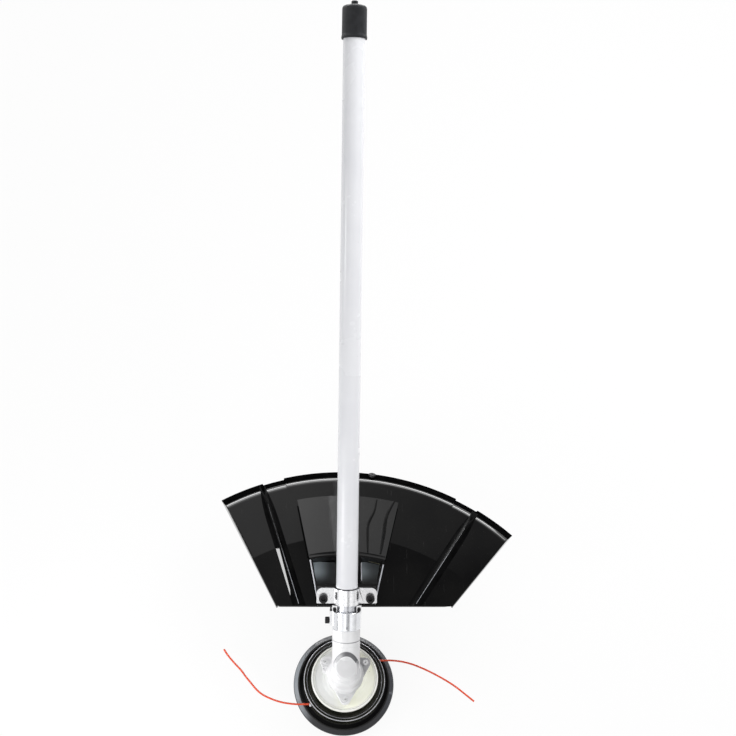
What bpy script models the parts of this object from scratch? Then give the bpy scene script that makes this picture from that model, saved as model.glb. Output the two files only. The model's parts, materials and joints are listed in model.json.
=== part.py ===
"""String trimmer attachment for a backpack garden multi-tool, as an assembly of separate pieces.

Lengths in the builders below are millimetres and are turned into metres by MM. The model's frame has
Z up along the spin axis of the trimmer head, with z = 0 at the ground face of the bump knob. The
drive tube rises backwards, towards +Y. X points to the right of someone who looks along +Y.
"""
import math

import bmesh
import bpy
from mathutils import Matrix, Vector

MM = 0.001
GAP = 0.3                     # clearance between pieces that touch in the real tool
SIDES = (("right", 1), ("left", -1))

# Where the tube's axis crosses the spin axis, and how far it leans back from the vertical
CROSS_HEIGHT = 100.0
TUBE_LEAN = math.radians(60.0)

# Drive tube and the shaft inside it
TUBE_RADIUS = 13.0
TUBE_WALL = 1.5
TUBE_FOOT = 46.0
TUBE_END = 786.0
SHAFT_RADIUS = 4.0
SHAFT_SQUARE = 5.5
BUSH_STATIONS = (150.0, 310.0, 470.0, 630.0)
BUSH_LENGTH = 16.0

# Transport cap on the open end of the tube
CAP_RADIUS = 14.5
CAP_FOOT = 754.0
CAP_SHOULDER = 792.5
CAP_TOP = 798.0

# Gear case: neck round the tube, barrel round the spin axis
NECK_RADIUS = 16.9
COLLAR_RADIUS = 17.85
COLLAR_FOOT = 54.2
NECK_END = 76.8
NECK_BORE = TUBE_RADIUS + GAP
BARREL_RADIUS = 19.3
DOME_RADIUS = 12.9
DOME_TOP = 121.0
RECESS_RADIUS = 17.5
FLANGE_TOP = 78.0
FLANGE_THICK = 4.0
FLANGE_SCREW_CIRCLE = 29.3
FLANGE_SCREW_ANGLES = (31.0, 146.0, 270.0)
LOCATING_SCREW_STATION = 64.0
LUG_END = 83.6
NECK_SCREW_STATION = 79.1
NECK_SCREW_SIDE = 14.6
GREASE_PLUG_STATION = 19.0
GEAR_ROOM_RADIUS = 16.2

# Bevel gears: their common apex is where the two axes cross
PINION_TEETH = 15
GEAR_TEETH = 20
CONE_LENGTH = 15.6
TOOTH_FACE = 5.5
PINION_PITCH_ANGLE = math.radians(46.1)
GEAR_PITCH_ANGLE = math.radians(73.9)
ADDENDUM_ANGLE = math.radians(4.0)
DEDENDUM_ANGLE = math.radians(6.4)

# Bearings, outside radius, bore and width
INPUT_BEARING = (13.0, 5.0, 8.0)
INPUT_BEARING_STATIONS = (24.0, 32.6)
OUTPUT_BEARING = (14.0, 6.0, 8.0)
OUTPUT_BEARING_HEIGHTS = (68.4, 77.8)
SPINDLE_RADIUS = 6.0
THREAD_RADIUS = 4.9

# Trimmer head
HOUSING_RADIUS = 51.0
HOUSING_TOP = 48.4
HOUSING_FLANGE = 56.0
COVER_RADIUS = 63.7
KNOB_RADIUS = 27.4
SPOOL_RADIUS = 44.0
DUST_RADIUS = 41.5
DUST_TOP = 62.1
EYELET_HEIGHT = 32.0
EYELET_SIDE = 27.0
EYELET_FACE = 43.6
EYELET_RADIUS = 3.4
LINE_DIAMETER = 2.4

# Guard: its arcs turn about the fan centre, its side edges and other rays meet SPLAY in front of it,
# and its front edge is straight. Angles are in degrees from +Y towards +X.
FAN_CENTRE = (-4.0, -66.4)
SPLAY = 19.5
FAN_LEFT = -27.1
FAN_RIGHT = 40.3
FAN_FRONT = 73.0
PLATE_TOP = 128.0
PLATE_THICK = 3.0
CREASE_RADIUS = 228.0
BEND_RADIUS = 307.0
BEND_DROP = 2.5
SKIRT_RADIUS = 322.5
SKIRT_FOOT = 104.0
SKIRT_WALL = 2.4
SKIRT_RECESS = 2.2
RECESS_LEFT = (-17.5, -12.8)
RECESS_RIGHT = (25.8, 31.0)
FLANGE_ANGLE = 0.5
SIDE_FLANGE_FRONT = 8.0
SIDE_FLANGE_BACK = 20.0
RIB_LINES = (((-57.5, 74.6), (-106.5, 228.6)), ((84.6, 74.6), (164.8, 194.4)))
RIB_OVERHANG = 8.5
RIB_HALF = 2.2
RIB_WIDENING = 1.9
RIB_CREST = 1.1
RIB_SHOULDER = (0.66, 0.6)
RIB_FOOT = 1.5
RIB_END_FOOT = 10.3
RIB_WALL = 1.3
RIB_CUT_START = 60.0
RIB_CUT_FOOT = 0.8
RIB_OVERRUN = 3.0
RIB_MOUTH = 27.0
MOUTH_RISES = (5.0, 0.2)
MOUTH_TOP = 12.0
MOUTH_HALF = 5.5
RIDGE_RADIUS = 203.4
RIDGE_TOP = 147.0
PANEL_END_RADIUS = 282.0
PANEL_LEFT = -11.0
PANEL_RIGHT = 13.6
CHEEK = 2.0
RIM_FOOT = 1.5
RIM_FRONT = 80.0
RIM_FRONT_TOP = 142.0
POCKET_FLOOR = 2.5
POCKET_MOUTH = 156.0
POCKET_ROWS = ((1.6, 97.2, 8.5), (0.0, 96.2, 5.0))
POCKET_FLARE = (2.4, 3.0)

# Clamp that holds the guard on the tube
CLAMP_FOOT = 84.8
CLAMP_LENGTH = 19.0
SADDLE_RADIUS = 15.3
EAR_REACH = 36.5
EAR_CORNERS = (1.5, 7.0)
EAR_TOP = 1.0
EAR_THICK = 4.0
BOLT_SIDE = 28.3
BOLT_STATION = 91.3
BOLT_RADIUS = 3.0
BOLT_HEAD_RADIUS = 5.4
NUT_ACROSS = 5.7
SEAT_DEPTH = -(EAR_TOP - EAR_THICK - GAP)

# Line cutter on the inside of the skirt
CUTTER_ANGLE = 7.0
CUTTER_WIDTH = 26.0
CUTTER_SETBACK = 0.9

# Free trimmer lines, from the eyelet outwards, in millimetres
RIGHT_LINE_ROUTE = (
    (44.0, 27.0, 32.0), (52.0, 27.2, 32.0), (58.0, 27.3, 32.0), (64.3, 27.0, 31.9),
    (70.5, 26.3, 31.8), (77.0, 25.2, 31.6), (88.0, 22.3, 31.2), (100.0, 17.6, 30.8),
    (112.0, 12.1, 30.2), (124.0, 5.8, 29.6), (136.0, -1.3, 29.0), (144.0, -6.8, 28.6),
    (151.8, -12.9, 28.2), (158.6, -18.4, 27.9), (165.0, -23.6, 27.6),
)
LEFT_LINE_ROUTE = (
    (-44.0, -27.0, 32.0), (-52.0, -27.1, 32.0), (-58.0, -27.1, 32.0), (-65.2, -26.6, 31.9),
    (-74.5, -25.3, 31.7), (-83.7, -23.0, 31.4), (-93.5, -19.3, 31.0), (-102.7, -14.7, 30.6),
    (-110.5, -8.3, 30.2), (-117.5, -0.2, 29.7), (-124.2, 7.7, 29.2), (-130.2, 15.6, 28.8),
    (-137.2, 22.9, 28.4), (-143.9, 30.3, 28.0), (-149.3, 36.9, 27.7), (-153.1, 42.6, 27.5),
)


def clear_scene():
    """Remove what the start-up file holds."""
    for thing in list(bpy.data.objects):
        bpy.data.objects.remove(thing, do_unlink=True)


def make_finish(name, colour, roughness, metallic=0.0):
    """One plain material for a piece."""
    finish = bpy.data.materials.new(name)
    finish.use_nodes = True
    shader = finish.node_tree.nodes["Principled BSDF"]
    shader.inputs["Base Color"].default_value = (*colour, 1.0)
    shader.inputs["Roughness"].default_value = roughness
    shader.inputs["Metallic"].default_value = metallic
    finish.diffuse_color = (*colour, 1.0)
    return finish


def make_frame(name, height=0.0, lean=0.0, parent=None):
    """An empty on an axis that pieces are built along."""
    frame = bpy.data.objects.new(name, None)
    bpy.context.scene.collection.objects.link(frame)
    frame.location = (0.0, 0.0, height * MM)
    frame.rotation_euler = (-lean, 0.0, 0.0)
    frame.parent = parent
    return frame


def close_mesh(bm):
    """Weld a shape that was spun, lofted or extruded and turn its faces outwards."""
    bmesh.ops.remove_doubles(bm, verts=bm.verts, dist=0.000002)
    bmesh.ops.dissolve_degenerate(bm, edges=bm.edges, dist=0.000002)
    bmesh.ops.recalc_face_normals(bm, faces=bm.faces)
    return bm


def turned(profile, steps=48):
    """A closed outline of (radius, height) turned about the Z axis."""
    bm = bmesh.new()
    points = [bm.verts.new((radius * MM, 0.0, height * MM)) for radius, height in profile]
    edges = []
    for first, second in zip(points, points[1:] + points[:1]):
        if first.co.x > 0.0 or second.co.x > 0.0:
            edges.append(bm.edges.new((first, second)))
    bmesh.ops.spin(bm, geom=points + edges, cent=(0, 0, 0), axis=(0, 0, 1),
                   angle=math.tau, steps=steps, use_merge=True)
    return close_mesh(bm)


def ring(inner, outer, low, high, steps=48):
    """A plain round ring."""
    return turned([(inner, low), (outer, low), (outer, high), (inner, high)], steps)


def disc(radius, low, high, steps=48):
    """A plain round bar or disc."""
    return turned([(0.0, low), (radius, low), (radius, high), (0.0, high)], steps)


def loft(loops):
    """A closed body through outlines that have the same number of 3-D points."""
    bm = bmesh.new()
    rows = [[bm.verts.new([value * MM for value in point]) for point in loop] for loop in loops]
    for low, high in zip(rows, rows[1:]):
        for index in range(len(low)):
            after = (index + 1) % len(low)
            bm.faces.new((low[index], low[after], high[after], high[index]))
    bm.faces.new(rows[0])
    bm.faces.new(rows[-1])
    return close_mesh(bm)


def prism(outline, low, high):
    """A flat outline raised from one height to another."""
    return loft([[(x, y, low) for x, y in outline], [(x, y, high) for x, y in outline]])


def block(low, high):
    """A box between two corners."""
    outline = [(low[0], low[1]), (high[0], low[1]), (high[0], high[1]), (low[0], high[1])]
    return prism(outline, low[2], high[2])


def circle(radius, count, centre=(0.0, 0.0), start=0.0):
    """Points round a circle."""
    return [(centre[0] + radius * math.cos(start + math.tau * i / count),
             centre[1] + radius * math.sin(start + math.tau * i / count)) for i in range(count)]


def rounded_outline(corners, radius, steps=6):
    """A convex outline, given anticlockwise, that wraps a disc at each of its corners."""
    outline = []
    for index, corner in enumerate(corners):
        before = Vector(corners[index - 1])
        after = Vector(corners[(index + 1) % len(corners)])
        here = Vector(corner)
        arrive = here - before
        leave = after - here
        start = math.atan2(-arrive.x, arrive.y)
        sweep = (math.atan2(-leave.x, leave.y) - start) % math.tau
        for step in range(steps + 1):
            angle = start + sweep * step / steps
            outline.append((here.x + radius * math.cos(angle), here.y + radius * math.sin(angle)))
    return outline


def moved(bm, offset=(0.0, 0.0, 0.0), turn=None):
    """Turn a shape about an axis through the origin, then shift it."""
    if turn:
        angle, axis = turn
        bmesh.ops.transform(bm, matrix=Matrix.Rotation(angle, 4, axis), verts=bm.verts)
    bmesh.ops.translate(bm, verts=bm.verts, vec=[value * MM for value in offset])
    return bm


def along_x(bm):
    """Lay a shape that was made along Z along X instead."""
    return moved(bm, turn=(math.radians(90.0), "Y"))


def place(name, shape, finish, frame):
    """Make a shape into a named piece on a frame."""
    mesh = bpy.data.meshes.new(name)
    shape.to_mesh(mesh)
    shape.free()
    mesh.materials.append(finish)
    mesh.shade_smooth()
    mesh.set_sharp_from_angle(angle=math.radians(32.0))
    piece = bpy.data.objects.new(name, mesh)
    bpy.context.scene.collection.objects.link(piece)
    piece.parent = frame
    return piece


def carve(piece, operation, shapes):
    """Add shapes to a piece, or cut them out of it, with one Boolean modifier that is then applied."""
    tools = bpy.data.collections.new("tools")
    bpy.context.scene.collection.children.link(tools)
    for shape in shapes:
        tool = place("tool", shape, piece.data.materials[0], piece.parent)
        bpy.context.scene.collection.objects.unlink(tool)
        tools.objects.link(tool)
    modifier = piece.modifiers.new("shape", "BOOLEAN")
    modifier.operation = operation
    modifier.solver = "EXACT"
    modifier.operand_type = "COLLECTION"
    modifier.collection = tools
    bpy.context.view_layer.update()
    graph = bpy.context.evaluated_depsgraph_get()
    shaped = bpy.data.meshes.new_from_object(piece.evaluated_get(graph))
    plain = piece.data
    piece.modifiers.clear()
    piece.data = shaped
    shaped.name = piece.name
    bpy.data.meshes.remove(plain)
    for tool in list(tools.objects):
        mesh = tool.data
        bpy.data.objects.remove(tool, do_unlink=True)
        bpy.data.meshes.remove(mesh)
    bpy.data.collections.remove(tools)
    shaped.set_sharp_from_angle(angle=math.radians(32.0))


def hexagon_outline(corner):
    """A hexagon as twelve points: its corners and the middles of its sides."""
    corners = circle(corner, 6)
    outline = []
    for start, end in zip(corners, corners[1:] + corners[:1]):
        outline += [start, (0.5 * (start[0] + end[0]), 0.5 * (start[1] + end[1]))]
    return outline


def socket_screw(head_radius, head_height, shank_radius, shank_length, socket):
    """A cap screw along Z: the head stands on z = 0, the shank runs down, the hexagon is a recess."""
    edge = 0.25 * head_height
    depth = 0.55 * head_height
    outlines = ((circle(shank_radius, 12), -shank_length), (circle(shank_radius, 12), 0.0),
                (circle(head_radius, 12), 0.0), (circle(head_radius, 12), head_height - edge),
                (circle(head_radius - edge, 12), head_height), (hexagon_outline(socket), head_height),
                (hexagon_outline(socket), head_height - depth))
    return loft([[(x, y, height) for x, y in outline] for outline, height in outlines])


def bevel_teeth(count, pitch_angle, back_profile, front_profile, tooth_at):
    """A straight bevel gear with its apex at the origin and its axis along +Z.

    The teeth run along lines through the apex. back_profile is the blank behind the teeth, from the
    root outwards to the bore, and front_profile the blank before them, both as (radius, height).
    """
    half_tip = 0.12
    half_root = 0.32
    pitch = math.tau / count
    tip = pitch_angle + ADDENDUM_ANGLE
    root = pitch_angle - DEDENDUM_ANGLE
    marks = ((-half_root, root), (-half_tip, tip), (half_tip, tip), (half_root, root))

    def tooth_loop(length):
        loop = []
        for tooth in range(count):
            for share, polar in marks:
                angle = tooth_at + (tooth + share) * pitch
                radius = length * math.sin(polar)
                loop.append((radius * math.cos(angle), radius * math.sin(angle),
                             length * math.cos(polar)))
        return loop

    def round_loop(radius, height):
        loop = []
        for tooth in range(count):
            for share, _ in marks:
                angle = tooth_at + (tooth + share) * pitch
                loop.append((radius * math.cos(angle), radius * math.sin(angle), height))
        return loop

    loops = [round_loop(*point) for point in front_profile]
    loops.append(tooth_loop(CONE_LENGTH - TOOTH_FACE))
    loops.append(tooth_loop(CONE_LENGTH))
    loops.extend(round_loop(*point) for point in back_profile)
    return loops


def gear_solid(loops, bored):
    """Close a gear's loops: round a bore when there is one, else with flat ends."""
    if not bored:
        return loft(loops)
    bm = bmesh.new()
    rows = [[bm.verts.new([value * MM for value in point]) for point in loop] for loop in loops]
    for low, high in zip(rows, rows[1:] + rows[:1]):
        for index in range(len(low)):
            after = (index + 1) % len(low)
            bm.faces.new((low[index], low[after], high[after], high[index]))
    return close_mesh(bm)


def open_ring(inner, outer, low, high, opening):
    """A circlip: a flat ring with a gap in it."""
    start = opening / 2
    sweep = math.tau - opening
    count = 18
    angles = [start + sweep * i / count for i in range(count + 1)]
    outline = [(outer * math.cos(a), outer * math.sin(a)) for a in angles]
    outline += [(inner * math.cos(a), inner * math.sin(a)) for a in reversed(angles)]
    return prism(outline, low, high)


def fan_ray(reach, angle):
    """A place on the guard: so far along the ray at an angle from the point where its rays meet."""
    turn = math.radians(angle)
    return (FAN_CENTRE[0] + reach * math.sin(turn), FAN_CENTRE[1] - SPLAY + reach * math.cos(turn))


def fan_point(radius, angle):
    """Where the ray at an angle meets the circle of a radius about the fan centre."""
    turn = math.radians(angle)
    across = SPLAY * math.sin(turn)
    return fan_ray(SPLAY * math.cos(turn) + math.sqrt(radius ** 2 - across ** 2), angle)


def build_tube(finishes, frame):
    """The drive tube, with the hole that the locating screw enters."""
    inner = TUBE_RADIUS - TUBE_WALL
    tube = place("drive_tube", ring(inner, TUBE_RADIUS, TUBE_FOOT, TUBE_END, 32),
                 finishes["white"], frame)
    hole = moved(along_x(disc(2.8, -20.0, -8.0, 16)), (0.0, 0.0, LOCATING_SCREW_STATION))
    carve(tube, "DIFFERENCE", [hole])
    for number, station in enumerate(BUSH_STATIONS, start=1):
        bush = ring(SHAFT_RADIUS + GAP, inner - GAP, station, station + BUSH_LENGTH, 16)
        place(f"tube_bush_{number}", bush, finishes["rubber"], frame)


def build_cap(finishes, frame):
    """The push-on transport cap with its pull nub."""
    bore = TUBE_RADIUS + GAP
    shoulder = 4.0
    arc = [(CAP_RADIUS - shoulder + shoulder * math.cos(math.radians(a)),
            CAP_SHOULDER - shoulder + shoulder * math.sin(math.radians(a)))
           for a in range(0, 91, 30)]
    profile = [(bore, CAP_FOOT), (CAP_RADIUS + 0.5, CAP_FOOT), (CAP_RADIUS + 0.7, CAP_FOOT + 2.0),
               (CAP_RADIUS + 0.1, CAP_FOOT + 5.0)]
    profile += arc
    profile += [(4.4, CAP_SHOULDER), (3.9, CAP_SHOULDER + 1.0), (3.8, CAP_TOP - 1.2),
                (2.8, CAP_TOP), (0.0, CAP_TOP), (0.0, TUBE_END + 2 * GAP), (bore, TUBE_END + 2 * GAP)]
    place("shaft_end_cap", turned(profile, 28), finishes["cap"], frame)


def build_input_train(finishes, frame):
    """The drive shaft with square ends, and the bevel pinion that it drives."""
    half = SHAFT_SQUARE / 2
    square_top = TUBE_END - 4.0
    shaft = place("drive_shaft", disc(SHAFT_RADIUS, 50.0, square_top - 14.0, 24),
                  finishes["steel"], frame)
    carve(shaft, "UNION", [block((-half, -half, 27.0), (half, half, 52.0)),
                           block((-half, -half, square_top - 16.0), (half, half, square_top))])
    journal = INPUT_BEARING[1]
    root = CONE_LENGTH * math.sin(PINION_PITCH_ANGLE - DEDENDUM_ANGLE)
    front_height = (CONE_LENGTH - TOOTH_FACE) * math.cos(PINION_PITCH_ANGLE - DEDENDUM_ANGLE)
    loops = bevel_teeth(PINION_TEETH, PINION_PITCH_ANGLE, [(root - 1.6, 14.6)],
                        [(2.5, front_height)], math.radians(90.0))
    pinion = place("pinion_gear", gear_solid(loops, False), finishes["steel"], frame)
    stem = turned([(0.0, 11.0), (6.6, 11.0), (6.6, 23.7), (journal, 23.8), (journal, 45.0), (0.0, 45.0)], 20)
    carve(pinion, "UNION", [stem])
    socket = half + GAP
    carve(pinion, "DIFFERENCE", [block((-socket, -socket, 26.5), (socket, socket, 46.0))])


def bearing(size, low):
    """A sealed ball bearing: two races with a recessed shield between them."""
    outer, bore, width = size
    inner = bore + GAP
    race = 0.22 * (outer - inner)
    shield = low + width - 0.6
    return turned([(inner, low), (outer, low), (outer, low + width), (outer - race, low + width),
                   (outer - race, shield), (inner + race, shield), (inner + race, low + width),
                   (inner, low + width)], 18)


def build_bearings(finishes, tube_frame, spin_frame):
    """Two bearings for the pinion, two for the output spindle, and the rings that keep them in."""
    for name, station in zip(("pinion_bearing_front", "pinion_bearing_rear"), INPUT_BEARING_STATIONS):
        place(name, bearing(INPUT_BEARING, station), finishes["steel"], tube_frame)
    for name, height in zip(("output_bearing_lower", "output_bearing_upper"), OUTPUT_BEARING_HEIGHTS):
        place(name, bearing(OUTPUT_BEARING, height), finishes["steel"], spin_frame)
    place("pinion_circlip", open_ring(10.6, 14.3, 41.2, 42.4, math.radians(40.0)),
          finishes["dark_steel"], tube_frame)
    place("output_circlip", open_ring(11.4, 15.2, 66.6, 68.0, math.radians(40.0)),
          finishes["dark_steel"], spin_frame)
    place("output_seal", turned([(SPINDLE_RADIUS + GAP, 61.8), (7.6, 61.2), (14.0, 61.2), (14.0, 65.6),
                                 (8.4, 65.6), (SPINDLE_RADIUS + GAP, 64.6)], 20),
          finishes["rubber"], spin_frame)


def flange_centres():
    """Where the three flange screws stand round the spin axis."""
    return [(FLANGE_SCREW_CIRCLE * math.cos(math.radians(a)),
             FLANGE_SCREW_CIRCLE * math.sin(math.radians(a))) for a in FLANGE_SCREW_ANGLES]


def case_neck():
    """The neck and collar round the tube, along the tube."""
    return turned([
        (0.0, 2.0), (NECK_RADIUS - 2.4, 2.0), (NECK_RADIUS, 5.0), (NECK_RADIUS, 39.4),
        (NECK_RADIUS - 0.6, 39.8), (NECK_RADIUS - 0.6, 40.4), (NECK_RADIUS, 40.8),
        (NECK_RADIUS, COLLAR_FOOT - 0.6), (COLLAR_RADIUS, COLLAR_FOOT + 0.6),
        (COLLAR_RADIUS, NECK_END - 0.8), (COLLAR_RADIUS - 0.8, NECK_END), (0.0, NECK_END)], 32)


def case_barrel():
    """The stepped barrel and its dome round the spin axis."""
    foot = FLANGE_TOP - FLANGE_THICK
    return turned([
        (0.0, 60.4), (17.3, 60.4), (17.3, foot), (22.5, foot), (22.5, 84.0), (21.0, 86.0),
        (BARREL_RADIUS, 86.6), (BARREL_RADIUS - 0.5, 102.6), (17.6, 104.4), (15.3, 105.0),
        (15.1, 109.6), (DOME_RADIUS + 0.1, 110.5), (DOME_RADIUS, DOME_TOP - 0.8),
        (DOME_RADIUS - 0.8, DOME_TOP), (0.0, DOME_TOP + 0.4)], 32)


def case_cavity():
    """Room inside the barrel: seat for the bearings and their ring, and the gears above them."""
    bore = OUTPUT_BEARING[0] + GAP
    return turned([(0.0, 50.0), (bore, 50.0), (bore, 66.3), (15.4, 66.3), (15.4, 68.3), (bore, 68.3),
                   (bore, 86.9), (GEAR_ROOM_RADIUS, 86.9), (GEAR_ROOM_RADIUS, 101.8), (0.0, 101.8)], 32)


def case_bore():
    """Room inside the neck, along the tube: the pinion's bearings, their ring and the tube."""
    return turned([(0.0, 5.4), (NECK_BORE, 5.4), (NECK_BORE, 40.9), (14.6, 40.9), (14.6, 42.7),
                   (NECK_BORE, 42.7), (NECK_BORE, 95.0), (0.0, 95.0)], 32)


def case_liner():
    """The thinner wall that is left of the neck in the pointed recess behind the dome."""
    return disc(NECK_BORE + 1.6, 3.0, 34.0, 32)


def build_gearcase(finishes, frame, spin_frame):
    """The cast case. Its neck is built along the tube, its barrel along the spin axis."""
    def from_tube(shape):
        return in_spin_frame(shape, frame, spin_frame)

    foot = FLANGE_TOP - FLANGE_THICK
    case = place("gearcase", from_tube(case_neck()), finishes["cast"], spin_frame)
    carve(case, "DIFFERENCE", [disc(RECESS_RADIUS, 110.0, 150.0, 32)])
    solids = [case_barrel(), from_tube(case_liner())]
    solids.append(from_tube(block((-20.3, -5.0, NECK_END - 18.0), (-12.0, 5.0, NECK_END - 0.4))))
    solids += [from_tube(block((side * NECK_SCREW_SIDE - 3.0, -7.0, NECK_END - 4.0),
                               (side * NECK_SCREW_SIDE + 3.0, 1.5, LUG_END))) for _, side in SIDES]
    solids.append(prism(rounded_outline(flange_centres(), 6.4), foot, FLANGE_TOP))
    solids.append(block((-28.0, 3.0, foot), (-17.0, 10.5, FLANGE_TOP + 2.6)))
    carve(case, "UNION", solids)

    cuts = [case_cavity(), from_tube(case_bore())]
    cuts.append(block((-30.0, 6.1, 75.3), (-23.6, 8.2, 84.0)))
    cuts += [prism(circle(2.3, 12, centre), 60.0, 90.0) for centre in flange_centres()]
    cuts.append(from_tube(block((-0.7, -25.0, COLLAR_FOOT + 3.0), (0.7, -5.0, NECK_END + 2.0))))
    cuts.append(from_tube(moved(along_x(disc(2.8, -24.0, -8.0, 12)), (0.0, 0.0, LOCATING_SCREW_STATION))))
    cuts.append(from_tube(moved(disc(3.3, -24.0, -9.0, 12), (0.0, 0.0, GREASE_PLUG_STATION),
                                (math.radians(90.0), "X"))))
    cuts += [from_tube(moved(disc(1.6, 0.0, 12.0, 10), (side * NECK_SCREW_SIDE, 0.0, NECK_SCREW_STATION),
                             (math.radians(90.0), "X"))) for _, side in SIDES]
    carve(case, "DIFFERENCE", cuts)


def build_gearcase_screws(finishes, frame, spin_frame):
    """Screws and plug that belong to the gear case."""
    locating = socket_screw(4.1, 5.4, 2.5, 9.4, 2.1)
    moved(locating, turn=(math.radians(-90.0), "Y"))
    moved(locating, (-20.3 - GAP, 0.0, LOCATING_SCREW_STATION))
    place("locating_screw", locating, finishes["black_steel"], frame)

    for name, side in SIDES:
        screw = moved(socket_screw(2.3, 2.0, 1.3, 6.0, 1.1), turn=(math.radians(90.0), "X"))
        moved(screw, (side * NECK_SCREW_SIDE, -7.0 - GAP, NECK_SCREW_STATION))
        place(f"neck_screw_{name}", screw, finishes["black_steel"], frame)

    plug = socket_screw(5.0, 3.0, 3.0, 5.0, 2.0)
    moved(plug, turn=(math.radians(-90.0), "X"))
    moved(plug, (0.0, NECK_RADIUS + GAP, GREASE_PLUG_STATION))
    place("grease_plug", plug, finishes["black_steel"], frame)

    for number, (x, y) in enumerate(flange_centres(), start=1):
        screw = moved(socket_screw(3.4, 2.2, 2.0, 18.0, 1.4), (x, y, FLANGE_TOP + GAP))
        place(f"flange_screw_{number}", screw, finishes["zinc"], spin_frame)


def build_output_train(finishes, frame):
    """Output spindle, its bevel gear, the washer under it and the plate that drives the head."""
    spindle = turned([(0.0, 30.0), (THREAD_RADIUS - 0.8, 30.0), (THREAD_RADIUS, 30.8),
                      (THREAD_RADIUS, 50.2), (SPINDLE_RADIUS, 50.3), (SPINDLE_RADIUS, 96.2),
                      (SPINDLE_RADIUS - 0.8, 97.0), (0.0, 97.0)], 24)
    place("output_spindle", spindle, finishes["steel"], frame)

    bore = SPINDLE_RADIUS + GAP
    root = CONE_LENGTH * math.sin(GEAR_PITCH_ANGLE - DEDENDUM_ANGLE)
    front_height = (CONE_LENGTH - TOOTH_FACE) * math.cos(GEAR_PITCH_ANGLE - DEDENDUM_ANGLE)
    loops = bevel_teeth(GEAR_TEETH, GEAR_PITCH_ANGLE,
                        [(9.2, 9.9), (bore, 12.6)],
                        [(bore, front_height)], math.radians(90.0 + 180.0 / GEAR_TEETH))
    gear = gear_solid(loops, True)
    moved(gear, turn=(math.pi, "Y"))
    moved(gear, (0.0, 0.0, CROSS_HEIGHT))
    place("bevel_gear", gear, finishes["steel"], frame)
    place("gear_washer", ring(bore, 8.6, 86.1, 87.1, 20), finishes["dark_steel"], frame)

    plate = turned([(bore, 50.3), (21.0, 50.3), (24.0, 52.0), (24.0, 54.2), (12.5, 54.8),
                    (11.8, 59.6), (bore, 59.6)], 28)
    place("adapter_plate", plate, finishes["zinc"], frame)


def build_dust_cover(finishes, frame):
    """The pale round cover screwed up under the gear case flange."""
    top = FLANGE_TOP - FLANGE_THICK - GAP
    cover = place("dust_cover", turned([
        (17.7, top), (22.6, top), (24.2, 72.4), (26.4, 62.2), (28.0, 60.6), (37.0, 59.6),
        (38.2, 60.4), (38.8, DUST_TOP), (40.9, DUST_TOP), (DUST_RADIUS, DUST_TOP - 0.8),
        (DUST_RADIUS, 57.2), (39.4, 57.2), (38.6, 57.8), (27.0, 58.4), (24.6, 60.2),
        (21.4, 71.4), (17.7, 71.4)], 40), finishes["cream"], frame)
    carve(cover, "UNION", [prism(circle(4.6, 16, centre), 58.6, top) for centre in flange_centres()])
    carve(cover, "DIFFERENCE", [prism(circle(2.3, 12, centre), 50.0, 80.0)
                                for centre in flange_centres()])


def build_head(finishes, frame):
    """Trimmer head: upper housing, lower cover, eyelets and the nut that holds it."""
    housing = place("head_housing", turned([
        (HOUSING_FLANGE, 25.0), (HOUSING_FLANGE, 26.6), (HOUSING_RADIUS + 1.2, 27.6), (HOUSING_RADIUS, 28.6),
        (HOUSING_RADIUS, HOUSING_TOP - 1.6), (HOUSING_RADIUS - 0.6, HOUSING_TOP - 0.4),
        (HOUSING_RADIUS - 1.4, HOUSING_TOP), (HOUSING_RADIUS - 3.2, HOUSING_TOP),
        (HOUSING_RADIUS - 4.2, 45.8), (22.0, 45.3), (18.0, 50.0), (5.2, 50.0), (5.2, 42.5),
        (44.6, 42.5), (47.9, 39.6), (47.9, 25.0)], 48), finishes["black"], frame)
    holes = []
    for side in (-1, 1):
        hole = moved(along_x(disc(EYELET_RADIUS + GAP, 36.0, 50.0, 14)), (0.0, EYELET_SIDE, EYELET_HEIGHT))
        if side < 0:
            moved(hole, turn=(math.pi, "Z"))
        holes.append(hole)
    carve(housing, "DIFFERENCE", holes)

    for name, side in SIDES:
        sleeve = turned([(1.6, 38.6), (EYELET_RADIUS, 38.6), (EYELET_RADIUS, EYELET_FACE - 0.6),
                         (EYELET_RADIUS - 0.6, EYELET_FACE), (2.2, EYELET_FACE), (1.6, EYELET_FACE - 0.6)], 14)
        eyelet = moved(along_x(sleeve), (0.0, EYELET_SIDE, EYELET_HEIGHT))
        if side < 0:
            moved(eyelet, turn=(math.pi, "Z"))
        place(f"eyelet_{name}", eyelet, finishes["zinc"], frame)

    cover = turned([(28.6, 8.0), (46.0, 8.0), (58.8, 12.4), (COVER_RADIUS - 0.8, 16.6), (COVER_RADIUS, 18.2),
                    (COVER_RADIUS, 20.6), (COVER_RADIUS - 0.9, 22.0), (58.2, 25.4), (HOUSING_FLANGE + GAP, 25.7),
                    (HOUSING_FLANGE + GAP, 25.0 - GAP), (48.2, 25.0 - GAP), (48.2, 14.6), (45.4, 11.6),
                    (28.6, 11.6)], 48)
    place("head_cover", cover, finishes["slate"], frame)

    nut = place("arbor_nut", prism(circle(9.8, 6), 36.2, 42.2), finishes["zinc"], frame)
    carve(nut, "DIFFERENCE", [disc(THREAD_RADIUS + GAP, 30.0, 50.0, 16)])


def spring_route(turns, radius, low, high):
    """Points of a compression spring, 12 to a turn."""
    count = turns * 12
    return [(radius * math.cos(math.tau * i / 12), radius * math.sin(math.tau * i / 12),
             low + (high - low) * i / count) for i in range(count + 1)]


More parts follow.
